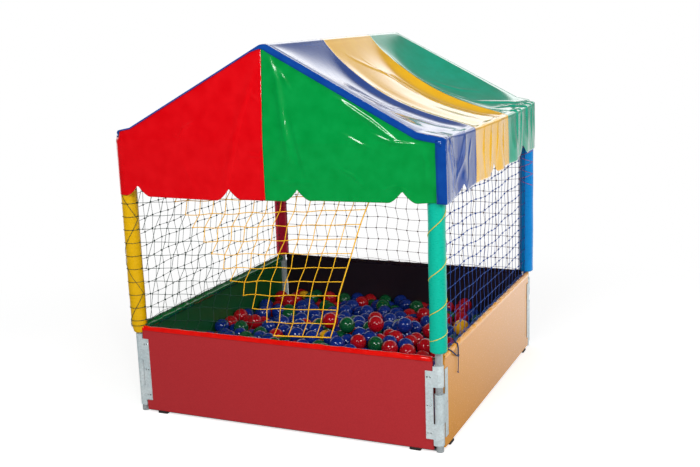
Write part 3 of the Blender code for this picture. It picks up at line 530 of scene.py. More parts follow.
def shape_corners(points):
    """The eave corners: three are drawn round over the padded posts, the front right one stands out."""
    out = points.copy()
    for sx, sy, radius in ((-1, -1, 0.052), (1, 1, 0.045), (-1, 1, 0.045)):
        side = wall_reach + cloth_gap - radius
        top = held_shelf + cloth_gap - radius
        past = np.stack([sx * points[..., 0] - side, sy * points[..., 1] - side, points[..., 2] - top])
        past = np.maximum(past, 0)
        near = np.minimum(past[0], past[1])
        past[2] = past[2] * smooth_step(near, 0, 0.5 * radius)
        most = past.max(axis=0)
        scale = most / np.maximum(np.linalg.norm(past, axis=0), 1e-9)
        here = near > 0
        out[..., 0] = np.where(here, sx * (side + past[0] * scale), out[..., 0])
        out[..., 1] = np.where(here, sy * (side + past[1] * scale), out[..., 1])
        drop = past[2] * (1 - scale)
        out[..., 2] = np.where(here, points[..., 2] - drop, out[..., 2])
    x, y, z = points[..., 0], points[..., 1], points[..., 2]
    low = smooth_step(1.345 - z, 0, 0.03)
    corner = smooth_step(x, 0.70, 0.772) * smooth_step(-y, 0.60, 0.765) * low
    crumple = waves(33, 0.05, 0.05, y + x, z) * 0.0016 * corner * smooth_step(z, 1.20, 1.30)
    out[..., 0] += (0.016 + crumple) * corner
    out[..., 1] -= (0.005 + crumple) * corner
    return out


# %% Sections of the cover, held and slack
def roof_sections():
    """Rows of (x, z) from the ridge to the hem on the right, held and slack, and the eave's row."""
    centre = ridge_height - crown_drop
    held = [(crown_radius * math.sin(a), centre + crown_radius * math.cos(a))
            for a in np.linspace(0, roof_angle, 7)]
    slack = list(held)
    start, top = held[-1]
    eave = wall_reach - 0.028
    for share in np.linspace(0, 1, 86)[1:]:
        reach = start + (slope_end - start) * share
        held.append((reach, top - (reach - start) * math.tan(roof_angle)))
        reach = start + (eave - start) * share
        dip = sag * math.sin(math.pi * share**sag_shift)
        slack.append((reach, top + (slack_shelf - top) * share - dip))
    for path, shelf in ((held, held_shelf), (slack, slack_shelf)):
        first = path[-1]
        corner = wall_reach - corner_round
        for share in np.linspace(0, 1, 8)[1:]:
            path.append((first[0] + (corner - first[0]) * share, first[1] + (shelf - first[1]) * share))
        for a in np.linspace(0, math.pi / 2, 6)[1:]:
            path.append((corner + corner_round * math.sin(a), shelf - corner_round * (1 - math.cos(a))))
    rows = len(held)
    for path in (held, slack):
        high = path[-1][1]
        for share in np.linspace(0, 1, 37)[1:]:
            path.append((wall_reach, high + (hem_height - high) * share))
    return np.array(held), np.array(slack), rows


held_path, slack_path, eave_row = roof_sections()
run = np.concatenate([[0], np.cumsum(np.hypot(*np.diff(held_path, axis=0).T))])
run_eave, run_hem = run[eave_row - 1], run[-1]
print("cloth from ridge to eave:", round(run_eave, 3), "to hem:", round(run_hem, 3))

# %% [markdown]
# ### Folds
#
# A fold is a soft ridge along a line, steeper on one side, that fades out at its ends. The ones that the
# photograph shows are placed one by one: pleats over the right eave, tight folds into the far corner and
# short ones across the slope. Around them the cloth carries random folds that run downhill, made of a
# few dozen plane waves from a fixed seed.

# %% One fold
def fold(a, b, line, height, width, steep=0.4):
    """Height at points (a, b) of a fold along a line of points."""
    total = np.zeros(np.broadcast(a, b).shape)
    line = np.array(line, float)
    lengths = np.hypot(*np.diff(line, axis=0).T)
    whole, before = lengths.sum(), 0.0
    best = np.full(total.shape, 1e9)
    for (p, q), length in zip(zip(line, line[1:]), lengths):
        along = ((a - p[0]) * (q[0] - p[0]) + (b - p[1]) * (q[1] - p[1])) / length**2
        aside = ((a - p[0]) * (q[1] - p[1]) - (b - p[1]) * (q[0] - p[0])) / length
        inside = np.clip(along, 0, 1)
        off = np.hypot((along - inside) * length, aside)
        spread = np.where(aside > 0, width, width * steep)
        taper = np.sin(np.pi * np.clip((before + inside * length) / whole, 0.02, 0.98)) ** 0.6
        here = height * taper * np.exp(-((off / spread) ** 2))
        total = np.where(off < best, here, total)
        best = np.minimum(off, best)
        before += length
    return total


# %% Folds of the right slope and of the whole roof
# Each: a line of (place along the ridge, way below the eave), height, width
right_folds = [
    ([(-0.752, 0.000), (-0.700, 0.100), (-0.640, 0.250)], 0.0060, 0.016),
    ([(-0.720, -0.010), (-0.690, 0.080)], 0.0040, 0.010),
    ([(-0.690, 0.000), (-0.655, 0.070), (-0.640, 0.120)], 0.0045, 0.010),
    ([(-0.480, 0.000), (-0.530, 0.090), (-0.610, 0.190)], 0.0075, 0.022),
    ([(-0.400, 0.030), (-0.470, 0.160), (-0.520, 0.240)], 0.0045, 0.016),
    ([(-0.190, 0.010), (-0.215, 0.120), (-0.205, 0.240)], 0.0045, 0.012),
    ([(-0.090, 0.020), (-0.120, 0.140), (-0.130, 0.230)], 0.0060, 0.014),
    ([(0.020, 0.010), (0.000, 0.120), (-0.010, 0.200)], 0.0050, 0.010),
    ([(0.120, 0.020), (0.095, 0.140), (0.090, 0.230)], 0.0045, 0.012),
    ([(0.330, -0.120), (0.360, 0.000), (0.340, 0.200)], 0.0075, 0.016),
    ([(0.410, -0.090), (0.450, 0.010), (0.430, 0.220)], 0.0060, 0.012),
    ([(0.500, -0.160), (0.560, -0.010), (0.550, 0.180)], 0.0070, 0.014),
    ([(0.620, -0.100), (0.650, 0.010), (0.640, 0.210)], 0.0050, 0.010),
    ([(0.690, -0.060), (0.705, 0.060), (0.700, 0.220)], 0.0040, 0.010),
    ([(0.440, -0.300), (0.600, -0.120), (0.730, -0.010)], 0.0070, 0.016),
    ([(0.420, -0.200), (0.560, -0.080), (0.690, -0.010)], 0.0055, 0.012),
    ([(-0.600, -0.640), (-0.450, -0.520), (-0.330, -0.400)], 0.0026, 0.010),
    ([(-0.640, -0.560), (-0.560, -0.400), (-0.430, -0.250)], 0.0030, 0.016),
    ([(-0.100, -0.760), (0.100, -0.640), (0.170, -0.500)], 0.0030, 0.014),
    ([(0.020, -0.740), (0.130, -0.560), (0.060, -0.420)], 0.0026, 0.010),
    ([(0.330, -0.760), (0.330, -0.560), (0.370, -0.400)], 0.0026, 0.008),
    ([(0.390, -0.740), (0.400, -0.500), (0.440, -0.340)], 0.0026, 0.010),
    ([(0.460, -0.560), (0.520, -0.400), (0.600, -0.300)], 0.0030, 0.014),
]


def roof_folds(side, y, down):
    """Lift of the roof and eaves over their smooth shape, by place along the ridge and way down."""
    slack = slackness(y)
    reach = smooth_step(down, 0.05, 0.35)
    drape = waves(3 + side, 0.30, 1.6, y, down) * 0.0018 * reach * (0.25 + 0.75 * slack)
    creases = np.exp(-((waves(8 + side, 0.42, 0.9, y, down) / 0.16) ** 2))
    drape = drape + creases * 0.0002 * reach * (0.3 + 0.7 * slack)
    hang = smooth_step(down, run_eave - 0.03, run_hem)
    fine = waves(15 + side, 0.07, 0.35, y, down) * 0.0003 * hang
    near_corner = smooth_step(np.abs(y), 0.62, 0.75)
    if side == 0:
        pleats = waves(21, 0.15, 1.4, y, down) * 0.0028 + 0.0015
        return drape * (1 - hang) + fine + pleats * hang * (1 - near_corner)
    pleats = np.maximum(waves(24, 0.26, 1.3, y, down) * 0.0070, -0.004) + 0.005
    lift = drape * (1 - hang) + fine + pleats * hang * (1 - 0.6 * near_corner)
    for line, height, width in right_folds:
        line = [(a, run_eave + b) for a, b in line]
        lift = lift + fold(y, down, line, height, width)
    return lift


print("folds placed on the right slope:", len(right_folds))

# %% [markdown]
# ### Stripes
#
# A stripe is one sheet from the left hem over the ridge to the right hem. It is a grid of points: rows
# go down both slopes, columns run along the ridge between two seams. The outermost stripes turn down
# over the gable panels with a narrow folded edge, as the blue band on the front rake shows.

# %% Grids and seams
def roof_grid(side_rows, columns_y):
    """Points of the smooth cover for signed rows and their places along the ridge."""
    index = np.abs(side_rows)
    sign = np.where(side_rows < 0, -1.0, 1.0)[:, None]
    slack = slackness(columns_y)
    x = sign * (held_path[index, 0][:, None] * (1 - slack) + slack_path[index, 0][:, None] * slack)
    z = held_path[index, 1][:, None] * (1 - slack) + slack_path[index, 1][:, None] * slack
    return np.stack([x, columns_y, z], axis=-1)


def grid_normals(points):
    """Outward normals of a roof grid."""
    down = np.gradient(points, axis=0)
    along = np.gradient(points, axis=1)
    normal = np.cross(along, down)
    normal /= np.maximum(np.linalg.norm(normal, axis=-1, keepdims=True), 1e-12)
    flip = np.sum(normal * (points - np.array([0, 0, 1.0])) * np.array([1, 0.2, 1])) < 0
    return -normal if flip else normal


def seam_y(seam, x):
    """A seam runs straight from its place on the ridge to its place at each eave."""
    foot = np.where(x > 0, seam["right"], seam["left"])
    share = seam["ridge"] + (foot - seam["ridge"]) * np.minimum(np.abs(x) / wall_reach, 1)
    return share * wall_reach


def grid_area(points):
    """Area of the cloth before it is folded."""
    a = points[1:, :-1] - points[:-1, :-1]
    b = points[:-1, 1:] - points[:-1, :-1]
    return float(np.linalg.norm(np.cross(a, b), axis=-1).sum())


# %% One stripe
def margin_width(side_rows, front):
    """How far a stripe's folded edge comes down over the gable panel."""
    x = np.where(side_rows < 0, -1, 1) * held_path[np.abs(side_rows), 0]
    hanging = np.abs(side_rows) >= eave_row - 6
    if not front:
        return np.where(hanging, 0.012, 0.026)
    slope = 0.006 + 0.022 * smooth_step(x, -0.07, 0.03)
    return np.where(hanging, np.where(x > 0, 0.037, 0.0015), slope)


def stripe_lift(name, seams, edges, side, y, down):
    """How far a stripe stands off its smooth shape: folds, the swell along its seams and its belly."""
    lift = np.where(side > 0, roof_folds(1, y, down), roof_folds(0, y, down))
    near_eave = smooth_step(down, run_eave - 0.10, run_eave)
    tight = smooth_step(down, 0.06, 0.25) * (1 - 0.7 * near_eave)
    for seam, edge in zip(seams, edges):
        if seam is not None:
            lift += 0.0008 * np.exp(-(((y - edge[:, None]) / 0.006) ** 2))
            lift += 0.0060 * np.exp(-(((y - edge[:, None]) / 0.045) ** 2)) * tight
    across = np.clip((y - edges[0][:, None]) / (edges[1] - edges[0])[:, None], 0, 1)
    over_slope = smooth_step(down, 0.03, 0.25) * (1 - smooth_step(down, run_eave - 0.22, run_eave - 0.08))
    depth, lean = bellies[name]
    return lift - depth * np.sin(math.pi * across**lean) * slackness(y) * over_slope


def turn_edges(points, normals, seams, side_rows, left_hanging):
    """Carries a folded edge on over the gable panel, in a few more columns."""
    area = 0.0
    for facing, seam in zip((-1, 1), seams):
        if seam is not None:
            continue
        edge = points[:, :1] if facing < 0 else points[:, -1:]
        out = normals[:, :1] if facing < 0 else normals[:, -1:]
        width = margin_width(side_rows, facing < 0)[:, None, None]
        turned = [edge - out * width * s for s in (1.0, 0.75, 0.5, 0.3, 0.12, 0.05)]
        turned = np.concatenate(turned, axis=1)
        turned[..., 1] = facing * (gable_face(turned[..., 2]) + band_turn_stand)
        if facing < 0:
            turned[left_hanging, :, 1] = edge[left_hanging, :, 1] - seam_gap
        area += grid_area(np.concatenate([turned, edge], axis=1))
        points = np.concatenate([turned, points] if facing < 0 else [points, turned[:, ::-1]], axis=1)
    return points, area


def make_stripe(name, material, seams, columns):
    """A stripe from the left hem over the ridge to the right hem. A missing seam is a folded edge."""
    last = len(held_path) - 1
    side_rows = np.arange(-last, last + 1)
    x = np.where(side_rows < 0, -1, 1) * held_path[np.abs(side_rows), 0]
    z = held_path[np.abs(side_rows), 1]
    left_hanging = (x < 0) & (np.abs(side_rows) >= eave_row)
    edges = []
    for seam, facing in zip(seams, (-1, 1)):
        face = facing * (gable_face(z) + band_stand)
        if facing < 0:
            face = np.where(left_hanging, left_wrap - wall_reach - cloth_gap, face)
        edges.append(face if seam is None else seam_y(seam, x) - facing * seam_gap)
    share = np.linspace(0, 1, columns)
    held_in = (0.003, 0.012)  # two more columns close to a folded edge keep it crisp
    y = edges[0][:, None] * (1 - share) + edges[1][:, None] * share
    if seams[0] is None:
        y = np.concatenate([y[:, :1], *[edges[0][:, None] + h for h in held_in], y[:, 1:]], axis=1)
    if seams[1] is None:
        y = np.concatenate([y[:, :-1], *[edges[1][:, None] - h for h in held_in[::-1]], y[:, -1:]], axis=1)
    points = roof_grid(side_rows, y)
    hanging = np.abs(side_rows) >= eave_row
    high = held_path[eave_row - 1, 1]
    on_right = x[:, None] > 0
    rise = notch_rise(y - np.where(on_right, side_notches[name][1], side_notches[name][0]))
    rise = rise + np.where(on_right, np.interp(y, *right_hem) - hem_height, 0.004 * np.sin(9 * y))
    drop = np.clip((high - points[..., 2]) / (high - hem_height), 0, 1)
    points[..., 2] += np.where(hanging[:, None], rise * drop**2, 0)
    flat_area = grid_area(points)
    normals = grid_normals(points)
    down = run[np.abs(side_rows)][:, None] + 0 * y
    lift = stripe_lift(name, seams, edges, x[:, None], y, down) * smooth_step(down, 0.0, 0.05)
    points = points + normals * (cloth_gap + lift)[..., None]
    points, turned_area = turn_edges(points, normals, seams, side_rows, left_hanging)
    points = shape_corners(points)
    faces = grid_faces(*points.shape[:2])
    piece = add_mesh(f"cover_{name}_stripe_cloth", points.reshape(-1, 3), faces, material)
    return piece, flat_area + turned_area


def face_outward(piece, centre):
    """Turns a sheet's faces so that they point away from a place inside the object."""
    mesh = piece.data
    total = sum((p.center - Vector(centre)).dot(p.normal) * p.area for p in mesh.polygons)
    if total < 0:
        mesh.flip_normals()


def thicken(piece, thickness):
    """Gives a sheet its thickness, toward the inside."""
    wall = piece.modifiers.new("cloth thickness", "SOLIDIFY")
    wall.thickness = thickness
    wall.offset = -1


# %% Make the three stripes
stripe_seams = {
    "blue": (None, seam_shares["blue"]),
    "yellow": (seam_shares["blue"], seam_shares["green"]),
    "green": (seam_shares["green"], None),
}
stripe_paints = {"blue": vinyl_blue, "yellow": vinyl_yellow, "green": vinyl_teal}
for name, seams in stripe_seams.items():
    piece, area = make_stripe(name, stripe_paints[name], seams, 110)
    face_outward(piece, (0, 0, 1.0))
    thicken(piece, cloth_thickness)
    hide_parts(f"cover_{name}_stripe")
    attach(piece, "cover")
    length = 2 * float(run_hem)
    width = area / length * 1.02
    print(name, "stripe: flat", round(width, 3), "x", round(length, 3), "area", round(area, 3))

# %% [markdown]
# ### Gable panels
#
# Each gable has a red and a green panel, sewn along an upright seam. They hang from the arch almost
# flat, so their few tension folds catch the light as thin streaks. The streaks in the photograph are
# placed here one by one: a long one under the right rake, a fan from the peak, and small ones at the hem.
# At the front left corner the red panel runs on round the padded post before it meets the blue stripe.

# %% Folds of the gables
# Each: a line of (x, z), height, width. The back gable has them mirrored.
front_folds = [
    ([(0.150, 1.606), (0.290, 1.535), (0.420, 1.468), (0.540, 1.400), (0.640, 1.345)], 0.0060, 0.012),
    ([(0.330, 1.470), (0.470, 1.385), (0.560, 1.320), (0.600, 1.290)], 0.0065, 0.013),
    ([(0.480, 1.330), (0.560, 1.300), (0.680, 1.292)], 0.0040, 0.010),
    ([(0.350, 1.330), (0.430, 1.290), (0.480, 1.275)], 0.0030, 0.010),
    ([(0.012, 1.660), (0.062, 1.547), (0.085, 1.388), (0.118, 1.190)], 0.0075, 0.020),
    ([(0.060, 1.590), (0.100, 1.540), (0.120, 1.500)], 0.0035, 0.010),
    ([(0.100, 1.420), (0.130, 1.300), (0.172, 1.140)], -0.0030, 0.016),
    ([(0.020, 1.150), (0.105, 1.120), (0.200, 1.128)], 0.0035, 0.008),
    ([(0.330, 1.190), (0.400, 1.160), (0.440, 1.120)], 0.0030, 0.008),
    ([(0.520, 1.110), (0.580, 1.125), (0.640, 1.100)], 0.0030, 0.008),
    ([(0.690, 1.290), (0.710, 1.200), (0.700, 1.110)], 0.0025, 0.012),
    ([(-0.451, 1.314), (-0.415, 1.308), (-0.400, 1.340), (-0.340, 1.371)], 0.0026, 0.008),
    ([(-0.025, 1.624), (-0.116, 1.386), (-0.185, 1.139), (-0.204, 1.073)], 0.0042, 0.024),
    ([(-0.062, 1.482), (-0.022, 1.449)], 0.0030, 0.006),
    ([(-0.085, 1.244), (-0.050, 1.230), (-0.014, 1.236)], 0.0032, 0.006),
    ([(-0.410, 1.200), (-0.375, 1.130), (-0.360, 1.070)], 0.0014, 0.010),
]


def gable_folds(x, z, facing):
    """Lift of a gable panel: faint waves, stronger in the green half, and the placed folds."""
    strength = 0.4 + 0.6 * smooth_step(x * -facing, -0.1, 0.1)
    lift = waves(41 if facing < 0 else 47, 0.45, 0.9, x, z) * 0.0010 * strength
    for line, height, width in front_folds:
        line = line if facing < 0 else [(-a, b) for a, b in line]
        lift = lift + fold(x, z, line, height, width)
    return lift


# %% One gable panel
def rake_height(x):
    """Top edge of a gable panel, just under the stripes."""
    return np.interp(np.abs(x), held_path[:eave_row, 0], held_path[:eave_row, 1]) - 0.0006


def make_gable(name, facing, low_x, high_x, material):
    """A panel from the scalloped hem up to the rake, as a grid of 90 rows and 110 columns."""
    most_dent, seam_ridge, seam_width = 0.0012, 0.0006, 0.005
    share = np.linspace(0, 1, 110)
    x = low_x + (high_x - low_x) * share
    hem = np.interp(x, *front_hem) if facing < 0 else hem_height + 0.004 * np.sin(7 * x + 1)
    hem = hem + sum(notch_rise(x - n) for n in front_notches)
    top = rake_height(np.minimum(np.abs(x), wall_reach - 0.0012))
    up = np.linspace(0, 1, 90)[:, None]
    z = hem + (top - hem) * up
    x = x + 0 * z
    points = np.stack([x, facing * (gable_face(z) + cloth_gap), z], axis=-1)
    area = grid_area(points)
    under_rake = smooth_step(top - z, 0.012, 0.055)
    corner = smooth_step(wall_reach - np.abs(x), 0.0, 0.05)
    lift = gable_folds(x, z, facing) * np.maximum(under_rake, 0) * (0.15 + 0.85 * corner)
    near_seam = np.exp(-(((x - gable_seam) / seam_width) ** 2)) * seam_ridge
    points[..., 1] += facing * (np.maximum(lift, -most_dent - 0.004 * under_rake) + near_seam)
    # The front red panel goes on round the front left post in seven more columns
    if facing < 0 and low_x < gable_seam:
        height = hem[0] + (held_path[eave_row - 1, 1] + 0.003 - hem[0]) * up[:, 0]
        side = wall_reach + cloth_gap - 0.0013 * smooth_step(height, 1.298, 1.304)
        wrapped = [np.stack([-side, past - side, height], axis=-1)
                   for past in np.linspace(left_wrap - 0.0004, 0.0024, 7)]
        area += left_wrap * (height[-1] - height[0])
        points = np.concatenate([np.stack(wrapped, axis=1), points], axis=1)
    points = shape_corners(points)
    piece = add_mesh(name, points.reshape(-1, 3), grid_faces(*points.shape[:2]), material)
    face_outward(piece, (0, 0, 1.2))
    thicken(piece, cloth_thickness)
    return piece, area


# %% Make the four gable panels
half_gap = 0.00015
edge = wall_reach - 0.0006
for side, facing in (("front", -1), ("back", 1)):
    for colour, low, high, paint in (
        ("red", -edge, gable_seam - half_gap, vinyl_red),
        ("green", gable_seam + half_gap, edge, vinyl_green),
    ):
        name = f"cover_{side}_{colour}_gable"
        piece, area = make_gable(name + "_cloth", facing, low, high, paint)
        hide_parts(name)
        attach(piece, "cover")
        tall = ridge_height + 0.013 - hem_height
        print(name, "flat", round(high - low, 3), "x", round(tall, 3), "area", round(area, 3))

# %% [markdown]
# ## The nets
#
# The nets are knotted polyethylene twine with a square mesh of about 60 mm. Each hangs from a top rail,
# is laced round the padded posts at its sides and is tied off over the boards. A net is a grid, so its
# threads are drawn as paths over the grid, and the thread tree gives them their thickness and knots. The
# right net is tied off at the front corner by a doubled, thicker cord, which is a piece of its own.

# %% A net between two posts
post_axis = 0.73
net_edge = 0.6885
net_top, net_bottom = 1.2772, 0.4190
net_columns, net_rows = 22, 14
wrap_radius, lacing_radius = 0.0378, 0.0376


def add_chain(points, edges, knots, places, knotted=()):
    """One more thread through places, with knots at some of them."""
    start = len(points)
    points.extend(places)
    knots.extend(n in knotted for n in range(len(places)))
    edges.extend((start + n, start + n + 1) for n in range(len(places) - 1))


def net_paths(plan, height, columns, rows, per_cell=3):
    """Threads over a net: plan gives (x, y) and height gives z, by column and row. Rows carry the knots."""
    points, edges, knots = [], [], []
    across = np.arange(columns * per_cell + 1) / per_cell
    down = np.arange(rows * per_cell + 1) / per_cell
    for j in range(rows + 1):
        places = [(*plan(float(u), j), height(float(u), j)) for u in across]
        add_chain(points, edges, knots, places, range(0, len(places), per_cell))
    for i in range(columns + 1):
        add_chain(points, edges, knots, [(*plan(i, float(j)), height(i, float(j))) for j in down])
    return points, edges, knots


def zigzag(j):
    """Knotted netting never pulls quite square: each row slips to one side and the next one back."""
    return 1 - 2 * abs(j % 2 - 1)


# %% The face and the rows of a side net
def side_plan(along, out, seed, slips):
    """(x, y) over a side net: it bellies a little and its knots slip to and fro."""
    along, out = Vector(along), Vector(out)
    phases = np.random.default_rng(seed).uniform(0, 2 * math.pi, 6)

    def plan(u, j):
        share = u / net_columns * 2 - 1
        inner = (1 - share**2) * math.sin(math.pi * min(max(j / net_rows, 0), 1))
        slip = slips * zigzag(j) * (1 - share**4) + 0.004 * inner * math.sin(0.9 * u + phases[1])
        belly = 0.006 * inner * math.sin(0.55 * u + phases[2]) * math.sin(0.5 * j + phases[3])
        place = out * post_axis + along * (net_edge + 0.0032) * share + along * slip + out * belly
        return place.x, place.y

    return plan


def side_height(seed):
    """z over a side net: its rows hang in slow waves between the rail and the board."""
    phases = np.random.default_rng(seed + 100).uniform(0, 2 * math.pi, 4)

    def height(u, j):
        inner = math.sin(math.pi * min(max(j / net_rows, 0), 1))
        wave = 0.008 * math.sin(0.35 * u + phases[0]) + 0.004 * math.sin(1.3 * u + phases[1] + 0.6 * j)
        return net_top + (net_bottom - net_top) * j / net_rows + inner * wave

    return height


# %% Border cords and lacings
def border_places(plan):
    """The bottom cord of a side net: it hangs in small bows from knot to knot along the trim."""
    per_cell, cells_per_bow, bow_height, over_trim = 6, 3, 0.009, 0.0022
    places = []
    for n in range(net_columns * per_cell + 1):
        u = n / per_cell
        x, y = plan(u, net_rows)
        bow = bow_height * abs(math.sin(math.pi * u / cells_per_bow))
        places.append((x, y, net_bottom + over_trim + bow))
    return places


def lacing_places(post, low, high, turns, first, last):
    """A lacing that runs to and fro round the outer side of a foam sleeve."""
    places = []
    for n in range(turns * 10 + 1):
        swing = (n / 10) % 2
        share = swing if swing <= 1 else 2 - swing
        angle = first + (last - first) * share
        height = high + (low - high) * n / (turns * 10)
        x = post[0] + lacing_radius * math.cos(angle)
        y = post[1] + lacing_radius * math.sin(angle)
        places.append((x, y, height))
    return places


# %% Make the three side nets
side_nets = {
    "left": ((0, -1, 0), (-1, 0, 0), twine_green, "net_dark_green", 0.008),
    "back": ((-1, 0, 0), (0, 1, 0), twine_red, "net_dark_red", 0.006),
    "right": ((0, 1, 0), (1, 0, 0), twine_blue, "net_blue", 0.005),
}
for n, (side, (along, out, paint, slot_name, slips)) in enumerate(side_nets.items()):
    plan, height = side_plan(along, out, 60 + n, slips), side_height(60 + n)
    points, edges, knots = net_paths(plan, height, net_columns, net_rows)
    add_chain(points, edges, knots, border_places(plan))
    if side == "right":
        laced = lacing_places((post_axis, -post_axis), 0.47, 1.20, 9, 0.25, 1.45)
        add_chain(points, edges, knots, laced)
    net = bake(f"{side}_net_threads", thread_tree, points, edges, paint,
               flags={"knot": knots}, thread_radius=0.0011, knot_radius=0.0050, sides=5)
    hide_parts(f"{side}_net")
    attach(net, "base")

# %% The doubled cord that ties off the right net
tie_over = smooth_path([
    (0.7300, -0.530, 0.4560), (0.7312, -0.534, 0.4380), (0.7380, -0.540, 0.4240), (0.7490, -0.543, 0.4150),
    (0.7545, -0.546, 0.4000), (0.7550, -0.548, 0.3800), (0.7545, -0.546, 0.3660),
], 4)
tie_across = smooth_path([
    (0.7320, -0.689, 0.4400), (0.7360, -0.668, 0.4290), (0.7440, -0.645, 0.4225), (0.7530, -0.620, 0.4050),
    (0.7555, -0.590, 0.3840), (0.7550, -0.560, 0.3680), (0.7540, -0.547, 0.3640),
], 4)
points, edges, knots = [], [], []
add_chain(points, edges, knots, tie_over, (0, 6, len(tie_over) - 1))
add_chain(points, edges, knots, tie_across, (len(tie_across) - 1,))
tie_bundle = bake("right_net_tie_bundle", thread_tree, points, edges, tie_blue,
                  flags={"knot": knots}, thread_radius=0.0030, knot_radius=0.0058, sides=7)
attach(tie_bundle, "base")

# %% [markdown]
# ### The front net
#
# The front net hangs over the left two thirds of the front and leaves the way in on the right. It is
# knotted in green and then, past a stepped line, in yellow, with a thicker rope along its free edge. It
# swings in from the rail like a curtain, so both halves bend between the fixed left side and the flap.

# %% Rows and columns of the front net
front_columns, front_rows, front_pitch = 17, 14, 0.067
rows_left, rows_right = ([0, 3, 14], [1.2768, 1.055, 0.386]), ([0, 3, 14], [1.2768, 1.140, 0.451])
free_heights = [0.451, 0.513, 0.576, 0.638, 0.701, 0.766, 0.844, 0.913, 0.970, 1.040, 1.277]
free_places = [0.246, 0.268, 0.283, 0.291, 0.313, 0.336, 0.364, 0.387, 0.408, 0.439, 0.527]
front_left_end = -net_edge - 0.0032


def column_x(u, j):
    """Columns lean with the free edge, so toward the bottom they run out at the left post."""
    free_edge = float(np.interp(np.interp(j, *rows_right), free_heights, free_places))
    return free_edge - (front_columns - u) * front_pitch


def front_spot(u, j):
    """A place on the front net. Its rows are laced lower on the left, so they climb to the right."""
    right = column_x(front_columns, j)
    x = max(column_x(u, j), front_left_end)
    share = (x - front_left_end) / (right - front_left_end)
    z = (1 - share) * np.interp(j, *rows_left) + share * np.interp(j, *rows_right)
    inner = math.sin(math.pi * share)
    slip = (0.010 - 0.006 * share) * zigzag(j) * inner + 0.003 * inner * math.sin(1.9 * u + 0.8 * j)
    dip = 0.0035 * inner * math.sin(2.3 * u + 1.3 * j)
    belly = 0.0015 * inner * math.sin(0.8 * u) * math.sin(0.7 * j)
    return (x + slip, -post_axis + belly, max(float(z) + (dip if 0 < j < front_rows else 0), 0.4225))


def round_post(j):
    """A row's end, laced over the outside of the front left sleeve."""
    height = front_spot(0, j)[2] if j > 2 else float(np.interp(j, *rows_left))
    turns = np.linspace(0, 3.3, 9)
    return [(-post_axis + wrap_radius * math.cos(a), -post_axis - wrap_radius * math.sin(a), height)
            for a in turns]


# %% Threads of one colour
def stepped_paths(yellow):
    """Threads of one colour: an edge beside a yellow cell is yellow, every other one is green."""
    points, edges, knots = [], [], []

    def is_yellow(i, j):
        return 0 <= j < front_rows and j <= i < front_columns

    def piece_of_thread(i, j, di, dj):
        beside = [(i, j), (i - dj, j - di)]
        if any(is_yellow(*cell) for cell in beside) != yellow:
            return
        if column_x(i + di, j + dj) <= front_left_end:
            return
        spots = [front_spot(i + di * n / 3, j + dj * n / 3) for n in range(4)]
        add_chain(points, edges, knots, spots, (0, 3))

    for j in range(front_rows + 1):
        for i in range(front_columns):
            piece_of_thread(i, j, 1, 0)
        if not yellow:
            add_chain(points, edges, knots, round_post(j), (0,))
    for j in range(front_rows):
        for i in range(front_columns + 1):
            piece_of_thread(i, j, 0, 1)
    if not yellow:
        post = (-post_axis, -post_axis)
        add_chain(points, edges, knots, lacing_places(post, 0.405, 1.26, 5, -0.1, -2.9))
    return points, edges, knots


# %% Make the front net
for label, yellow, paint, node, thick in (
    ("front_net_green_threads", False, twine_green, "front_net", 0.0012),
    ("front_net_yellow_threads", True, twine_yellow, "front_net_flap", 0.0019),
):
    points, edges, knots = stepped_paths(yellow)
    net = bake(label, thread_tree, points, edges, paint,
               flags={"knot": knots}, thread_radius=thick, knot_radius=0.0038, sides=5)
    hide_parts(node)
    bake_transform(net)

rope = [front_spot(front_columns, j / 2) for j in range(2 * front_rows + 1)]
foot = [front_spot(u / 2, front_rows) for u in range(2 * front_columns, 2 * front_rows - 3, -1)]
ropes = lay_cord("front_net_border_rope", rope + foot[1:], twine_yellow, 0.0029, 7)
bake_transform(ropes)

# %% [markdown]
# ## The foam sleeves
#
# Each post has a tube of foam in a thin vinyl skin. Real sleeves are never quite straight or round: they
# bulge a little, pinch where a cord is tight, and their skins crease across. The shape is turned from a
# profile, then pushed in and out by smooth random waves.

# %% Foam sleeves
foam_radius, foam_hole, foam_top = 0.036, 0.0166, 1.2765
lashing_bottom, lashing_top, lashing_turns, lashing_radius = 0.452, 1.240, 5, 0.0015
lashing_path_radius, lashing_power = 0.0366, 1.5


def lashing_angle(height):
    """Turn of the lashing at a height: its turns lie closer at the bottom."""
    share = np.clip((height - lashing_bottom) / (lashing_top - lashing_bottom), 0, 1) ** (1 / lashing_power)
    return 2 * math.pi * lashing_turns * share


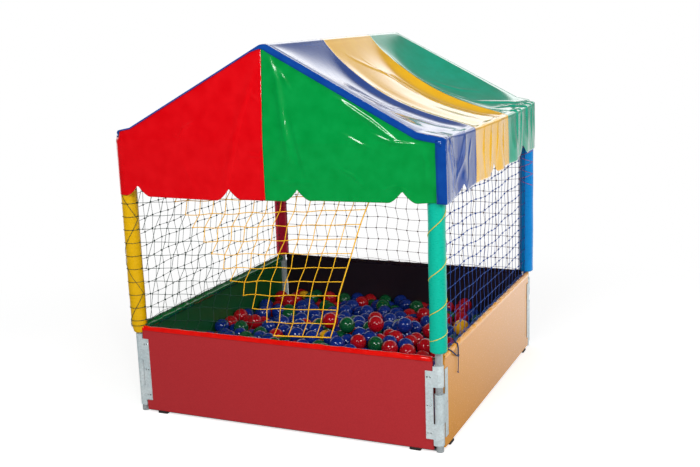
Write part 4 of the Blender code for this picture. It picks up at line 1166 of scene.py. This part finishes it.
def sleeve(name, place, bottom, material, seed, squeezed=False, lashed=False):
    """A turned tube of foam: bulges, short ticks across, a pinched foot and the groove of a lashing."""
    segments = 56
    angles = np.linspace(0, 2 * math.pi, segments, endpoint=False)
    heights = np.linspace(bottom, foam_top, 180)
    outer = np.full(len(heights), foam_radius)
    ends = np.minimum(heights - bottom, foam_top - heights)
    outer -= 0.004 * (1 - np.clip(ends / 0.004, 0, 1)) ** 2
    if squeezed:
        outer -= 0.009 * (1 - smooth_step(heights, bottom - 0.01, bottom + 0.05))
    radius = outer[:, None] + 0 * angles
    bulge = waves(seed, 0.30, 0.11, heights[:, None], np.sin(angles)[None, :] * 0.03)
    radius = radius + 0.0005 * bulge * np.clip(ends / 0.03, 0, 1)[:, None]
    ticks = waves(seed + 7, 0.011, 0.09, heights[:, None], np.sin(angles + 1)[None, :] * 0.036)
    patch = waves(seed + 9, 0.12, 0.2, heights[:, None], np.cos(angles)[None, :] * 0.04)
    patch = smooth_step(patch, -0.4, 1.0)
    radius = radius + 0.00016 * ticks * patch * np.clip(ends / 0.03, 0, 1)[:, None]
    if lashed:
        off = (angles[None, :] - lashing_angle(heights)[:, None] + math.pi) % (2 * math.pi) - math.pi
        near = np.exp(-((off * foam_radius / 0.007) ** 2))
        radius -= 0.0005 * near * (heights > lashing_bottom - 0.01)[:, None]
    hole = np.full(segments, foam_hole)
    rings = [(hole, heights[0]), *zip(radius, heights), (hole, heights[-1])]
    points = [(place[0] + distance * math.cos(a), place[1] + distance * math.sin(a), z)
              for ring, z in rings for a, distance in zip(angles, ring)]
    faces = grid_faces(len(rings), segments, closed_rows=True, closed_columns=True)
    piece = add_mesh(name, points, faces, material)
    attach(piece, "base")
    return piece


# %% Make the four sleeves
for n, (corner, sx, sy, bottom, paint, slot_name) in enumerate((
    ("front_left", -1, -1, 0.386, foam_yellow, "foam_yellow"),
    ("front_right", 1, -1, 0.438, foam_teal, "foam_teal"),
    ("back_left", -1, 1, 0.419, foam_crimson, "foam_crimson"),
    ("back_right", 1, 1, 0.420, foam_blue, "foam_blue"),
)):
    piece = sleeve(f"{corner}_foam_sleeve_skin", (sx * post_axis, sy * post_axis), bottom, paint,
                   70 + n, squeezed=corner == "front_left", lashed=corner == "front_right")
    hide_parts(f"{corner}_foam_sleeve")
    print(piece.name, "from", bottom, "to", foam_top, "m")

# %% The pink lacing at the top of the back right sleeve
pink_twine = twine("pink_lacing_twine", ("#C03468", "#D04478"))
pink_path = lacing_places((post_axis, post_axis), 0.885, 1.10, 7, -2.6, -0.3)
lacing = lay_cord("back_right_pink_lacing", pink_path, pink_twine, 0.0012, 5)
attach(lacing, "base")

# %% The yellow lashing on the front right sleeve
steps = 240
lashing = []
for n in range(steps + 1):
    share = n / steps
    angle = 2 * math.pi * lashing_turns * share
    height = lashing_bottom + (lashing_top - lashing_bottom) * share**lashing_power
    x = post_axis + lashing_path_radius * math.cos(angle)
    y = -post_axis + lashing_path_radius * math.sin(angle)
    lashing.append((x, y, height))
cord = lay_cord("front_right_lashing", lashing, lashing_yellow, lashing_radius, 6)
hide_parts("foam_lashing_cord")
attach(cord, "base")

# %% [markdown]
# ## The trims on the boards
#
# A folded vinyl strip covers the top edge of each board. It is glossy, rounded over the edge and a
# little wavy, because it was pulled over by hand. Its section is a rounded U that runs along the board.

# %% Edge trims
board_face, board_inner, board_top = 0.7467, 0.7307, 0.4145
board_half_length = 0.7065
trim_wall, trim_leg = 0.0028, 0.016


def trim_section(inner_leg, bulge):
    """Outside of the U from the outer foot over the crown to the inner foot, then back inside."""
    outer, inner = [], []
    middle, half = (board_face + board_inner) / 2, (board_face - board_inner) / 2
    for share in np.linspace(0, 1, 5)[:-1]:
        outer.append((middle + half + trim_wall, board_top - trim_leg + 0.008 * share, share * 0.3))
    for a in np.linspace(0, math.pi, 15):
        inward = bulge * smooth_step(a, 0.4 * math.pi, math.pi)
        outer.append((middle + (half + trim_wall) * math.cos(a) - float(inward),
                      board_top - 0.008 + 0.0115 * math.sin(a) - float(inward) * 0.6, 1.0))
    for share in np.linspace(1, 0, 5)[1:]:
        outer.append((middle - half - trim_wall - bulge * math.sin(0.5 * math.pi * share),
                      board_top - inner_leg + (inner_leg - 0.008 - 0.6 * bulge) * share, share * 0.3))
    for reach, height in ((-half - 0.0006, 0.0005 - inner_leg), (-half - 0.0006, 0.0005),
                          (half + 0.0006, 0.0005), (half + 0.0006, -0.0155)):
        inner.append((middle + reach, board_top + height, 0.0))
    return outer + inner


# %% Make the four trims
def make_trim(side, along, out, material, slot_name, seed):
    """A strip along one board. The left one comes down farther inside and stands off the board."""
    section = trim_section(*((0.036, 0.009) if side == "left" else (trim_leg, 0.0)))
    stations = np.linspace(-board_half_length, board_half_length, 150)
    points = []
    for t in stations:
        lift = 0.0009 * float(waves(seed, 0.11, 1.0, np.array(t), np.array(0.0)))
        side_way = 0.0006 * float(waves(seed + 5, 0.08, 1.0, np.array(t), np.array(0.3)))
        for reach, height, free in section:
            place = Vector(along) * float(t) + Vector(out) * (reach + max(side_way, -0.0004) * free)
            points.append((place.x, place.y, height + max(lift, -0.0006) * free))
    size = len(section)
    faces = grid_faces(len(stations), size, closed_columns=True)
    faces.append(tuple(range(size)))
    faces.append(tuple(range((len(stations) - 1) * size, len(stations) * size))[::-1])
    piece = add_mesh(f"{side}_edge_trim_strip", points, faces, material)
    mesh = piece.data
    total = sum(p.center.z * p.normal.z * p.area for p in mesh.polygons if p.center.z > board_top)
    if total < 0:
        mesh.flip_normals()
    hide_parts(f"{side}_edge_trim")
    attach(piece, "base")


for n, (side, along, out, paint, slot_name) in enumerate((
    ("front", (1, 0, 0), (0, -1, 0), trim_red, "trim_red"),
    ("back", (-1, 0, 0), (0, 1, 0), trim_blue, "trim_blue"),
    ("left", (0, -1, 0), (-1, 0, 0), trim_green, "trim_green"),
    ("right", (0, 1, 0), (1, 0, 0), trim_yellow, "trim_yellow"),
)):
    make_trim(side, along, out, paint, slot_name, 90 + n)
print("trims made")

# %% [markdown]
# ## The mat
#
# A thin foam mat lies under the balls. It hardly shows, so it is a low cushion with a soft crown.

# %% Floor mat
low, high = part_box("floor_mat")
side, mat_inset, mat_rim = 25, 0.0008, 0.010
mat_points = []
for on_top in (False, True):
    for a in np.linspace(0, 1, side):
        for b in np.linspace(0, 1, side):
            pillow = (1 - (2 * a - 1) ** 8) * (1 - (2 * b - 1) ** 8)
            z = low.z + (mat_rim + (high.z - low.z - mat_rim - 0.0005) * pillow if on_top else 0.0006)
            mat_points.append((low.x + mat_inset + (high.x - low.x - 2 * mat_inset) * a,
                               low.y + mat_inset + (high.y - low.y - 2 * mat_inset) * b, z))
last, layer = side - 1, side * side
mat_faces = grid_faces(side, side, flip=True)
mat_faces += [tuple(v + layer for v in f) for f in grid_faces(side, side)]
rim = [r * side for r in range(side)] + [last * side + c for c in range(1, side)]
rim += [r * side + last for r in range(last - 1, -1, -1)] + list(range(last - 1, 0, -1))
mat_faces += [(a, b, b + layer, a + layer) for a, b in zip(rim, rim[1:] + rim[:1])]
mat = add_mesh("floor_mat_pad", mat_points, mat_faces, mat_cloth)
face_outward(mat, tuple((low + high) / 2))
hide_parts("floor_mat")
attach(mat, "base")
print("mat faces:", len(mat.data.polygons))

# %% [markdown]
# ## The balls
#
# About a thousand balls lie loose in the pit, heaped a little toward the front. The ones that the
# photograph shows on top are placed first. The others are dropped one by one: each rolls over those
# below it to the lowest place in reach and stays if it is still under the heap's surface. Holes that the
# placed balls kept open are then filled, and all are pushed apart until they touch. A lattice pushed
# apart was tried first, and its rows showed. One Geometry Nodes tree then sets a ball on each point.

# %% Balls that the photograph shows
ball_radius = 0.0395
pit_half = board_inner - 0.0008
mat_top = 0.0205
loose_balls = {
    "blue": [(0.324, -0.0468, 0.3076)],
    "green": [(0.081, -0.1871, 0.3287)],
    "red": [(-0.0405, -0.1169, 0.3196), (0.2025, -0.1169, 0.3242)],
    "yellow": [(0.567, 0.0935, 0.2772)],
}
top_balls = {
    "blue": [(-0.68, 0.21), (-0.68, -0.07), (-0.42, -0.06), (-0.59, 0.20), (-0.53, 0.26), (-0.37, 0.00),
             (-0.67, 0.41), (-0.45, 0.41), (-0.39, 0.28), (-0.30, 0.10), (-0.28, 0.21), (-0.17, 0.36),
             (-0.18, 0.48), (-0.04, 0.33), (0.03, 0.07), (0.13, -0.16), (0.21, -0.20), (0.03, -0.26),
             (0.12, -0.30), (0.03, 0.68), (0.15, 0.24), (0.27, 0.04), (0.30, -0.20), (0.34, 0.09),
             (0.39, -0.20), (0.50, 0.14), (-0.25, -0.05), (-0.17, -0.10), (-0.08, -0.15), (-0.17, -0.23),
             (-0.07, -0.27)],
    "red": [(-0.68, 0.12), (-0.68, 0.02), (-0.55, 0.05), (-0.65, 0.53), (-0.56, 0.44), (-0.57, 0.56),
            (-0.36, 0.59), (-0.16, 0.57), (0.07, 0.17), (0.17, -0.28), (0.26, 0.39), (0.30, -0.12),
            (0.33, -0.28), (0.42, -0.26), (0.46, -0.18), (0.39, 0.10), (0.41, 0.68), (0.46, 0.40),
            (0.40, 0.37), (0.33, 0.60), (0.39, 0.60)],
    "green": [(-0.57, -0.06), (-0.45, 0.22), (-0.48, 0.58), (-0.30, 0.63), (-0.02, 0.51), (0.13, -0.03),
              (0.25, -0.26), (0.17, 0.54), (-0.12, -0.05)],
}

print("balls placed on top:", sum(len(group) for group in top_balls.values()))


# %% The heap, and how a ball rolls
def heap_top(x, y):
    """Height of the tops of the balls."""
    away = np.hypot(x - 0.1, y + 0.22) / 0.52
    ripple = np.sin(2 * math.pi * x / 0.21) * np.cos(2 * math.pi * y / 0.21)
    return 0.185 + ball_radius + 0.075 * np.exp(-(away**2)) + 0.006 * ripple


def rest_height(x, y, balls):
    """Height at which a ball dropped at (x, y) touches the pile."""
    level = np.full(np.shape(x), mat_top + ball_radius)
    if len(balls):
        apart = (np.asarray(x)[..., None] - balls[:, 0]) ** 2 + (np.asarray(y)[..., None] - balls[:, 1]) ** 2
        above = np.sqrt(np.maximum(4 * ball_radius**2 - apart, 0))
        touch = np.where(apart < 4 * ball_radius**2, balls[:, 2] + above, 0)
        level = np.maximum(level, touch.max(axis=-1))
    return level


def in_pit(x, y):
    """True where a ball's centre clears the boards and the posts."""
    inside = np.maximum(np.abs(x), np.abs(y)) <= pit_half - ball_radius
    return inside & (np.hypot(np.abs(x) - post_axis, np.abs(y) - post_axis) > 0.057)


def roll_down(x, y, balls):
    """A dropped ball rolls to the lowest place that it can reach in small steps."""
    near = balls[np.hypot(balls[:, 0] - x, balls[:, 1] - y) < 0.26] if len(balls) else balls
    turns = np.linspace(0, 2 * math.pi, 12, endpoint=False)
    level, stride = float(rest_height(x, y, near)), 0.016
    while stride > 0.0006:
        try_x, try_y = x + stride * np.cos(turns), y + stride * np.sin(turns)
        levels = np.where(in_pit(try_x, try_y), rest_height(try_x, try_y, near), 9)
        best = int(np.argmin(levels))
        if levels[best] < level - 1e-5:
            x, y, level = try_x[best], try_y[best], float(levels[best])
        else:
            stride *= 0.5
    return x, y, level


# %% Spread the top balls and fill the holes
def spread_top(fixed):
    """The balls that the photograph shows on top, pushed apart until none overlap."""
    spacing = 2.01 * ball_radius
    places = np.array([p for group in top_balls.values() for p in group])
    tops = np.column_stack([places, heap_top(*places.T) - ball_radius + 0.008])
    for step in range(120):
        everything = np.concatenate([tops, fixed])
        delta = tops[:, None] - everything[None]
        distance = np.linalg.norm(delta, axis=2)
        np.fill_diagonal(distance, 9)
        overlap = np.clip(spacing - distance, 0, None)
        push = (delta / np.maximum(distance, 1e-6)[..., None] * overlap[..., None]).sum(axis=1)
        tops[:, :2] += push[:, :2] * 0.45
        tops[:, 2] += np.clip(push[:, 2] * 0.2, -0.002, 0.002)
        tops[:, :2] = np.clip(tops[:, :2], -pit_half + ball_radius, pit_half - ball_radius)
    return tops


def fill_holes(balls, shown, fixed):
    """A ball into each hole that is left near the surface, then all are pushed apart until they touch."""
    search_step, hole_depth, least_room = 0.011, 0.026, 1.38 * ball_radius
    places = np.arange(-pit_half + ball_radius, pit_half - ball_radius, search_step)
    hole_x, hole_y = (axis.ravel() for axis in np.meshgrid(places, places))
    holes = np.column_stack([hole_x, hole_y])[in_pit(hole_x, hole_y)]
    holes = np.column_stack([holes, heap_top(*holes.T) - ball_radius - hole_depth])
    room = np.full(len(holes), 9.0)
    for ball in np.concatenate([balls, fixed]):
        room = np.minimum(room, np.linalg.norm(holes - ball, axis=1))
    before = len(balls)
    while room.max() > least_room:
        ball = holes[np.argmax(room)]
        balls = np.concatenate([balls, [ball]])
        room = np.minimum(room, np.linalg.norm(holes - ball, axis=1))
    reach, count = pit_half - ball_radius, len(balls)
    everything = np.concatenate([balls, fixed])
    share = np.where(np.arange(len(everything)) < shown, 0.06, 0.35)
    share[count:] = 0
    rise = np.where(np.arange(len(everything)) < shown, 0.02, 0.002)
    for step in range(120):
        if step % 12 == 0:
            apart = np.sqrt(((everything[:, None] - everything[None]) ** 2).sum(axis=2))
            first, second = np.nonzero(np.triu(apart < 2.6 * ball_radius, 1))
        delta = everything[first] - everything[second]
        distance = np.maximum(np.linalg.norm(delta, axis=1), 1e-6)
        overlap = np.clip(2 * ball_radius - distance, 0, None)
        push = delta * (overlap / distance)[:, None]
        total = np.zeros_like(everything)
        np.add.at(total, first, push)
        np.add.at(total, second, -push)
        everything = everything + total * share[:, None]
        everything[:count, :2] = np.clip(everything[:count, :2], -reach, reach)
        top = heap_top(*everything[:, :2].T) - ball_radius + rise
        everything[:count, 2] = np.clip(everything[:count, 2], mat_top + ball_radius, top[:count])
    print("holes filled:", count - before, "largest overlap in mm:", round(1000 * float(overlap.max()), 2))
    return everything[:count]


# %% Pack the balls
def pack_balls():
    """Balls dropped one by one below those on top, then over the rest of the pit. Tops come first."""
    stages = ((0.048, 90), (0.010, 160))  # depth below the surface, misses in a row that end it
    chance = np.random.default_rng(5)
    reach = pit_half - ball_radius
    fixed = np.array([p for group in loose_balls.values() for p in group])
    under_reach, under_drop = 0.0456, 0.0645
    under = np.array([(x + under_reach * math.cos(a), y + under_reach * math.sin(a), z - under_drop)
                      for k, (x, y, z) in enumerate(fixed) for a in k + np.array([0, 2.094, 4.189])])
    tops = spread_top(fixed)
    kept = np.concatenate([tops, fixed, under])
    placed = np.zeros((0, 3))
    for stage, (drop, misses) in enumerate(stages):
        missed = 0
        while missed < misses:
            x, y = chance.uniform(-reach, reach, 2)
            if not in_pit(x, y):
                continue
            x, y, z = roll_down(x, y, placed)
            clear = stage == 1 or np.min(np.linalg.norm(kept - (x, y, z), axis=1)) > 1.94 * ball_radius
            if clear and z <= heap_top(x, y) - ball_radius - drop + chance.uniform(-0.004, 0.004):
                placed = np.concatenate([placed, [(x, y, z)]])
                missed = 0
            else:
                missed += 1
        if stage == 0:
            first = len(placed)
            placed = np.concatenate([placed, kept])
    dropped = np.delete(placed, np.arange(first, first + len(tops) + len(fixed)), axis=0)
    return fill_holes(np.concatenate([tops, dropped]), len(tops), fixed)


packed = pack_balls()
depth = heap_top(packed[:, 0], packed[:, 1]) - ball_radius - packed[:, 2]
loose_count = sum(len(group) for group in loose_balls.values())
print("balls:", len(packed) + loose_count, "in the top layer:", int((depth < 0.04).sum()))


# %% Set a ball on each point
def make_ball_tree():
    """A ball with few faces: a divided cube, blown up round, on each point and turned at random."""
    tree, given, result = group_tree("balls_on_points", {
        "Ball Radius": ("NodeSocketFloat", 0.0395), "Fineness": ("NodeSocketInt", 5)})
    edge = given.outputs["Fineness"]
    block = add_node(tree, "GeometryNodeMeshCube", {1: edge, 2: edge, 3: edge})
    place = add_node(tree, "GeometryNodeInputPosition")
    unit = add_node(tree, "ShaderNodeVectorMath", {0: place.outputs[0]}, operation="NORMALIZE")
    round_place = add_node(tree, "ShaderNodeVectorMath", {
        0: unit.outputs[0], "Scale": given.outputs["Ball Radius"]}, operation="SCALE")
    ball = add_node(tree, "GeometryNodeSetPosition", {
        "Geometry": block.outputs["Mesh"], "Position": round_place.outputs[0]})
    turned = add_node(tree, "FunctionNodeRandomValue", {
        0: (0, 0, 0), 1: (6.28, 6.28, 6.28), "Seed": 4}, data_type="FLOAT_VECTOR")
    balls = add_node(tree, "GeometryNodeInstanceOnPoints", {
        "Points": given.outputs["Geometry"], "Instance": ball.outputs[0], "Rotation": turned.outputs[0]})
    end_tree(tree, given, result, balls.outputs[0])
    return tree


ball_tree = make_ball_tree()
names, shares = ["blue", "red", "green", "yellow"], [0.54, 0.26, 0.18, 0.02]
colours = np.random.default_rng(12).choice(len(names), len(packed), p=shares)
shown = [names.index(colour) for colour, group in top_balls.items() for _ in group]
colours[: len(shown)] = shown
for n, colour in enumerate(names):
    spots = np.concatenate([packed[colours == n], np.array(loose_balls[colour])])
    balls = bake(f"{colour}_pit_balls", ball_tree, spots, [], ball_paints[colour],
                 ball_radius=ball_radius * 1.010, fineness=5)
    stands_for = [f"loose_ball_{colour}"] + (["loose_ball_red_second"] if colour == "red" else [])
    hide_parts(*stands_for, *(["ball_bed"] if colour == "blue" else []))
    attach(balls, "base")

# %% [markdown]
# ## Screws
#
# Each hinge leaf is held to its board by screws with shallow domed heads. A small tree sets a head on
# each point and turns it to the side that the board faces.

# %% Screws of the hinge leaves
def make_screw_tree():
    """A flattened dome on each point, turned to the direction that the point carries."""
    tree, given, result = group_tree("screws_on_points", {"Head Radius": ("NodeSocketFloat", 0.0036)})
    head = add_node(tree, "GeometryNodeMeshUVSphere", {
        "Segments": 12, "Rings": 6, "Radius": given.outputs["Head Radius"]})
    flat = add_node(tree, "GeometryNodeTransform", {0: head.outputs["Mesh"], "Scale": (1, 1, 0.36)})
    facing = add_node(tree, "GeometryNodeInputNamedAttribute", {"Name": "facing"}, data_type="FLOAT_VECTOR")
    turned = add_node(tree, "FunctionNodeAlignRotationToVector", {
        "Vector": facing.outputs["Attribute"]}, axis="Z")
    screws = add_node(tree, "GeometryNodeInstanceOnPoints", {
        "Points": given.outputs["Geometry"], "Instance": flat.outputs[0], "Rotation": turned.outputs[0]})
    end_tree(tree, given, result, screws.outputs[0])
    return tree


screw_tree = make_screw_tree()
leaf_thickness, screw_head = 0.0032, 0.0036
leaf_outside = board_face + leaf_thickness
screw_heights, screw_reaches = (0.086, 0.209, 0.332), (0.032, 0.046)
screw_points, screw_facing = [], []
for sx in (-1, 1):
    for sy in (-1, 1):
        for height in screw_heights:
            for reach in screw_reaches:
                screw_points.append((sx * (post_axis - reach), sy * leaf_outside, height))
                screw_facing.append((0, sy, 0))
                screw_points.append((sx * leaf_outside, sy * (post_axis - reach), height))
                screw_facing.append((sx, 0, 0))
screws = bake("hinge_leaf_screws", screw_tree, screw_points, [], screw_zinc,
              vectors={"facing": screw_facing}, head_radius=screw_head)
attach(screws, "base")

# %% [markdown]
# ## Floor, background and light
#
# A plain white floor and background, as in a studio. The floor is white for the camera and still takes
# the object's soft shadow. One large soft lamp stands in front and high, a small one beside the camera
# for the sharp glints on the balls, one to the right, and the world fills in the rest.
#
# What glossy vinyl shows is mostly the room. Behind the camera a studio is dark. Behind the object stands
# a lit backdrop, brightest a little above the horizon, under a dark ceiling, and the floor before it is
# lit too and duller far away. Only glossy rays see these, so they add no light to the object itself.

# %% Floor
pure_white = (1, 1, 1, 1)
floor_material = bpy.data.materials.new("studio_floor_white")
floor_material.use_nodes = True
tree = floor_material.node_tree
tree.nodes.remove(tree.nodes["Principled BSDF"])
place = add_node(tree, "ShaderNodeTexCoord")
parts = add_node(tree, "ShaderNodeSeparateXYZ", {0: place.outputs["Object"]})
away = add_node(tree, "ShaderNodeVectorMath", {0: place.outputs["Object"]}, operation="LENGTH")
far, ahead, behind = (
    add_node(tree, "ShaderNodeMapRange", {
        "Value": value, "From Min": low, "From Max": high, "To Min": start, "To Max": end,
    }, interpolation_type="SMOOTHSTEP")
    for value, low, high, start, end in (
        (away.outputs["Value"], 1.5, 3.0, 0.0, 1.0),
        (parts.outputs[1], -1.3, 2.2, 0.03, 1.6),
        (parts.outputs[1], 2.5, 6.0, 1.0, 0.5),
    )
)
lit_floor = add_node(tree, "ShaderNodeMath", {
    0: ahead.outputs[0], 1: behind.outputs[0]}, operation="MULTIPLY")
matt = add_node(tree, "ShaderNodeBsdfDiffuse", {"Color": (0.80, 0.80, 0.80, 1)})
glow = add_node(tree, "ShaderNodeEmission", {"Color": pure_white, "Strength": 0.55})
white = add_node(tree, "ShaderNodeEmission", {"Color": pure_white, "Strength": 1.0})
mirrored = add_node(tree, "ShaderNodeEmission", {"Color": pure_white, "Strength": lit_floor.outputs[0]})
ray = add_node(tree, "ShaderNodeLightPath")
lit = add_node(tree, "ShaderNodeAddShader", {0: matt.outputs[0], 1: glow.outputs[0]})
seen = add_node(tree, "ShaderNodeMixShader", {0: far.outputs[0], 1: lit.outputs[0], 2: white.outputs[0]})
shiny = add_node(tree, "ShaderNodeMixShader",
                 {0: ray.outputs["Is Glossy Ray"], 1: matt.outputs[0], 2: mirrored.outputs[0]})
either = add_node(tree, "ShaderNodeMixShader",
                  {0: ray.outputs["Is Camera Ray"], 1: shiny.outputs[0], 2: seen.outputs[0]})
tree.links.new(either.outputs[0], tree.nodes["Material Output"].inputs["Surface"])
half = 14
floor = add_mesh("studio_floor", [(-half, -half, 0), (half, -half, 0), (half, half, 0), (-half, half, 0)],
                 [(0, 1, 2, 3)], floor_material, smooth=False)
print("floor:", 2 * half, "m square")

# %% World
world = bpy.data.worlds.new("studio")
bpy.context.scene.world = world
world.use_nodes = True
tree = world.node_tree
tree.nodes.clear()
ray = add_node(tree, "ShaderNodeLightPath")
way = add_node(tree, "ShaderNodeTexCoord")
parts = add_node(tree, "ShaderNodeSeparateXYZ", {0: way.outputs["Generated"]})
wall, rising, falling = (
    add_node(tree, "ShaderNodeMapRange", {
        "Value": value, "From Min": low, "From Max": high, "To Min": start, "To Max": end,
    }, interpolation_type="SMOOTHSTEP")
    for value, low, high, start, end in (
        (parts.outputs[1], -0.15, 0.25, 0.03, 1.0),
        (parts.outputs[2], 0.03, 0.22, 0.3, 1.7),
        (parts.outputs[2], 0.27, 0.48, 1.0, 0.12),
    )
)
belt = add_node(tree, "ShaderNodeMath", {0: rising.outputs[0], 1: falling.outputs[0]}, operation="MULTIPLY")
backdrop = add_node(tree, "ShaderNodeMath", {0: wall.outputs[0], 1: belt.outputs[0]}, operation="MULTIPLY")
seen = add_node(tree, "ShaderNodeMath",
                {0: ray.outputs["Is Camera Ray"], 1: ray.outputs["Is Transmission Ray"]}, operation="MAXIMUM")
soft = add_node(tree, "ShaderNodeBackground", {"Color": pure_white, "Strength": 0.42})
white = add_node(tree, "ShaderNodeBackground", {"Color": pure_white, "Strength": 1.0})
mirrored = add_node(tree, "ShaderNodeBackground", {"Color": pure_white, "Strength": backdrop.outputs[0]})
shiny = add_node(tree, "ShaderNodeMixShader",
                 {0: ray.outputs["Is Glossy Ray"], 1: soft.outputs[0], 2: mirrored.outputs[0]})
both = add_node(tree, "ShaderNodeMixShader", {0: seen.outputs[0], 1: shiny.outputs[0], 2: white.outputs[0]})
add_node(tree, "ShaderNodeOutputWorld", {"Surface": both.outputs[0]})
print("world nodes:", len(tree.nodes))


# %% Lamps
def soft_lamp(name, place, target, size, power):
    """A rectangular lamp at a place, turned to its target."""
    data = bpy.data.lights.new(name, "AREA")
    data.shape = "RECTANGLE"
    data.size, data.size_y = size
    data.energy = power
    lamp = bpy.data.objects.new(name, data)
    way = Vector(target) - Vector(place)
    lamp.matrix_world = Matrix.Translation(place) @ way.to_track_quat("-Z", "Y").to_matrix().to_4x4()
    bpy.context.collection.objects.link(lamp)
    print(name, power, "W at", place)


soft_lamp("key_softbox", (0.2, -4.3, 3.3), (0.2, 0, 1.0), (1.6, 0.9), 88)
soft_lamp("camera_side_lamp", (2.5, -4.5, 1.95), (-0.2, 0, 0.8), (0.5, 0.5), 32)
soft_lamp("right_softbox", (4.4, -1.8, 2.9), (0.6, 0, 0.8), (1.4, 1.2), 82)

bpy.context.scene.view_settings.view_transform = "Standard"
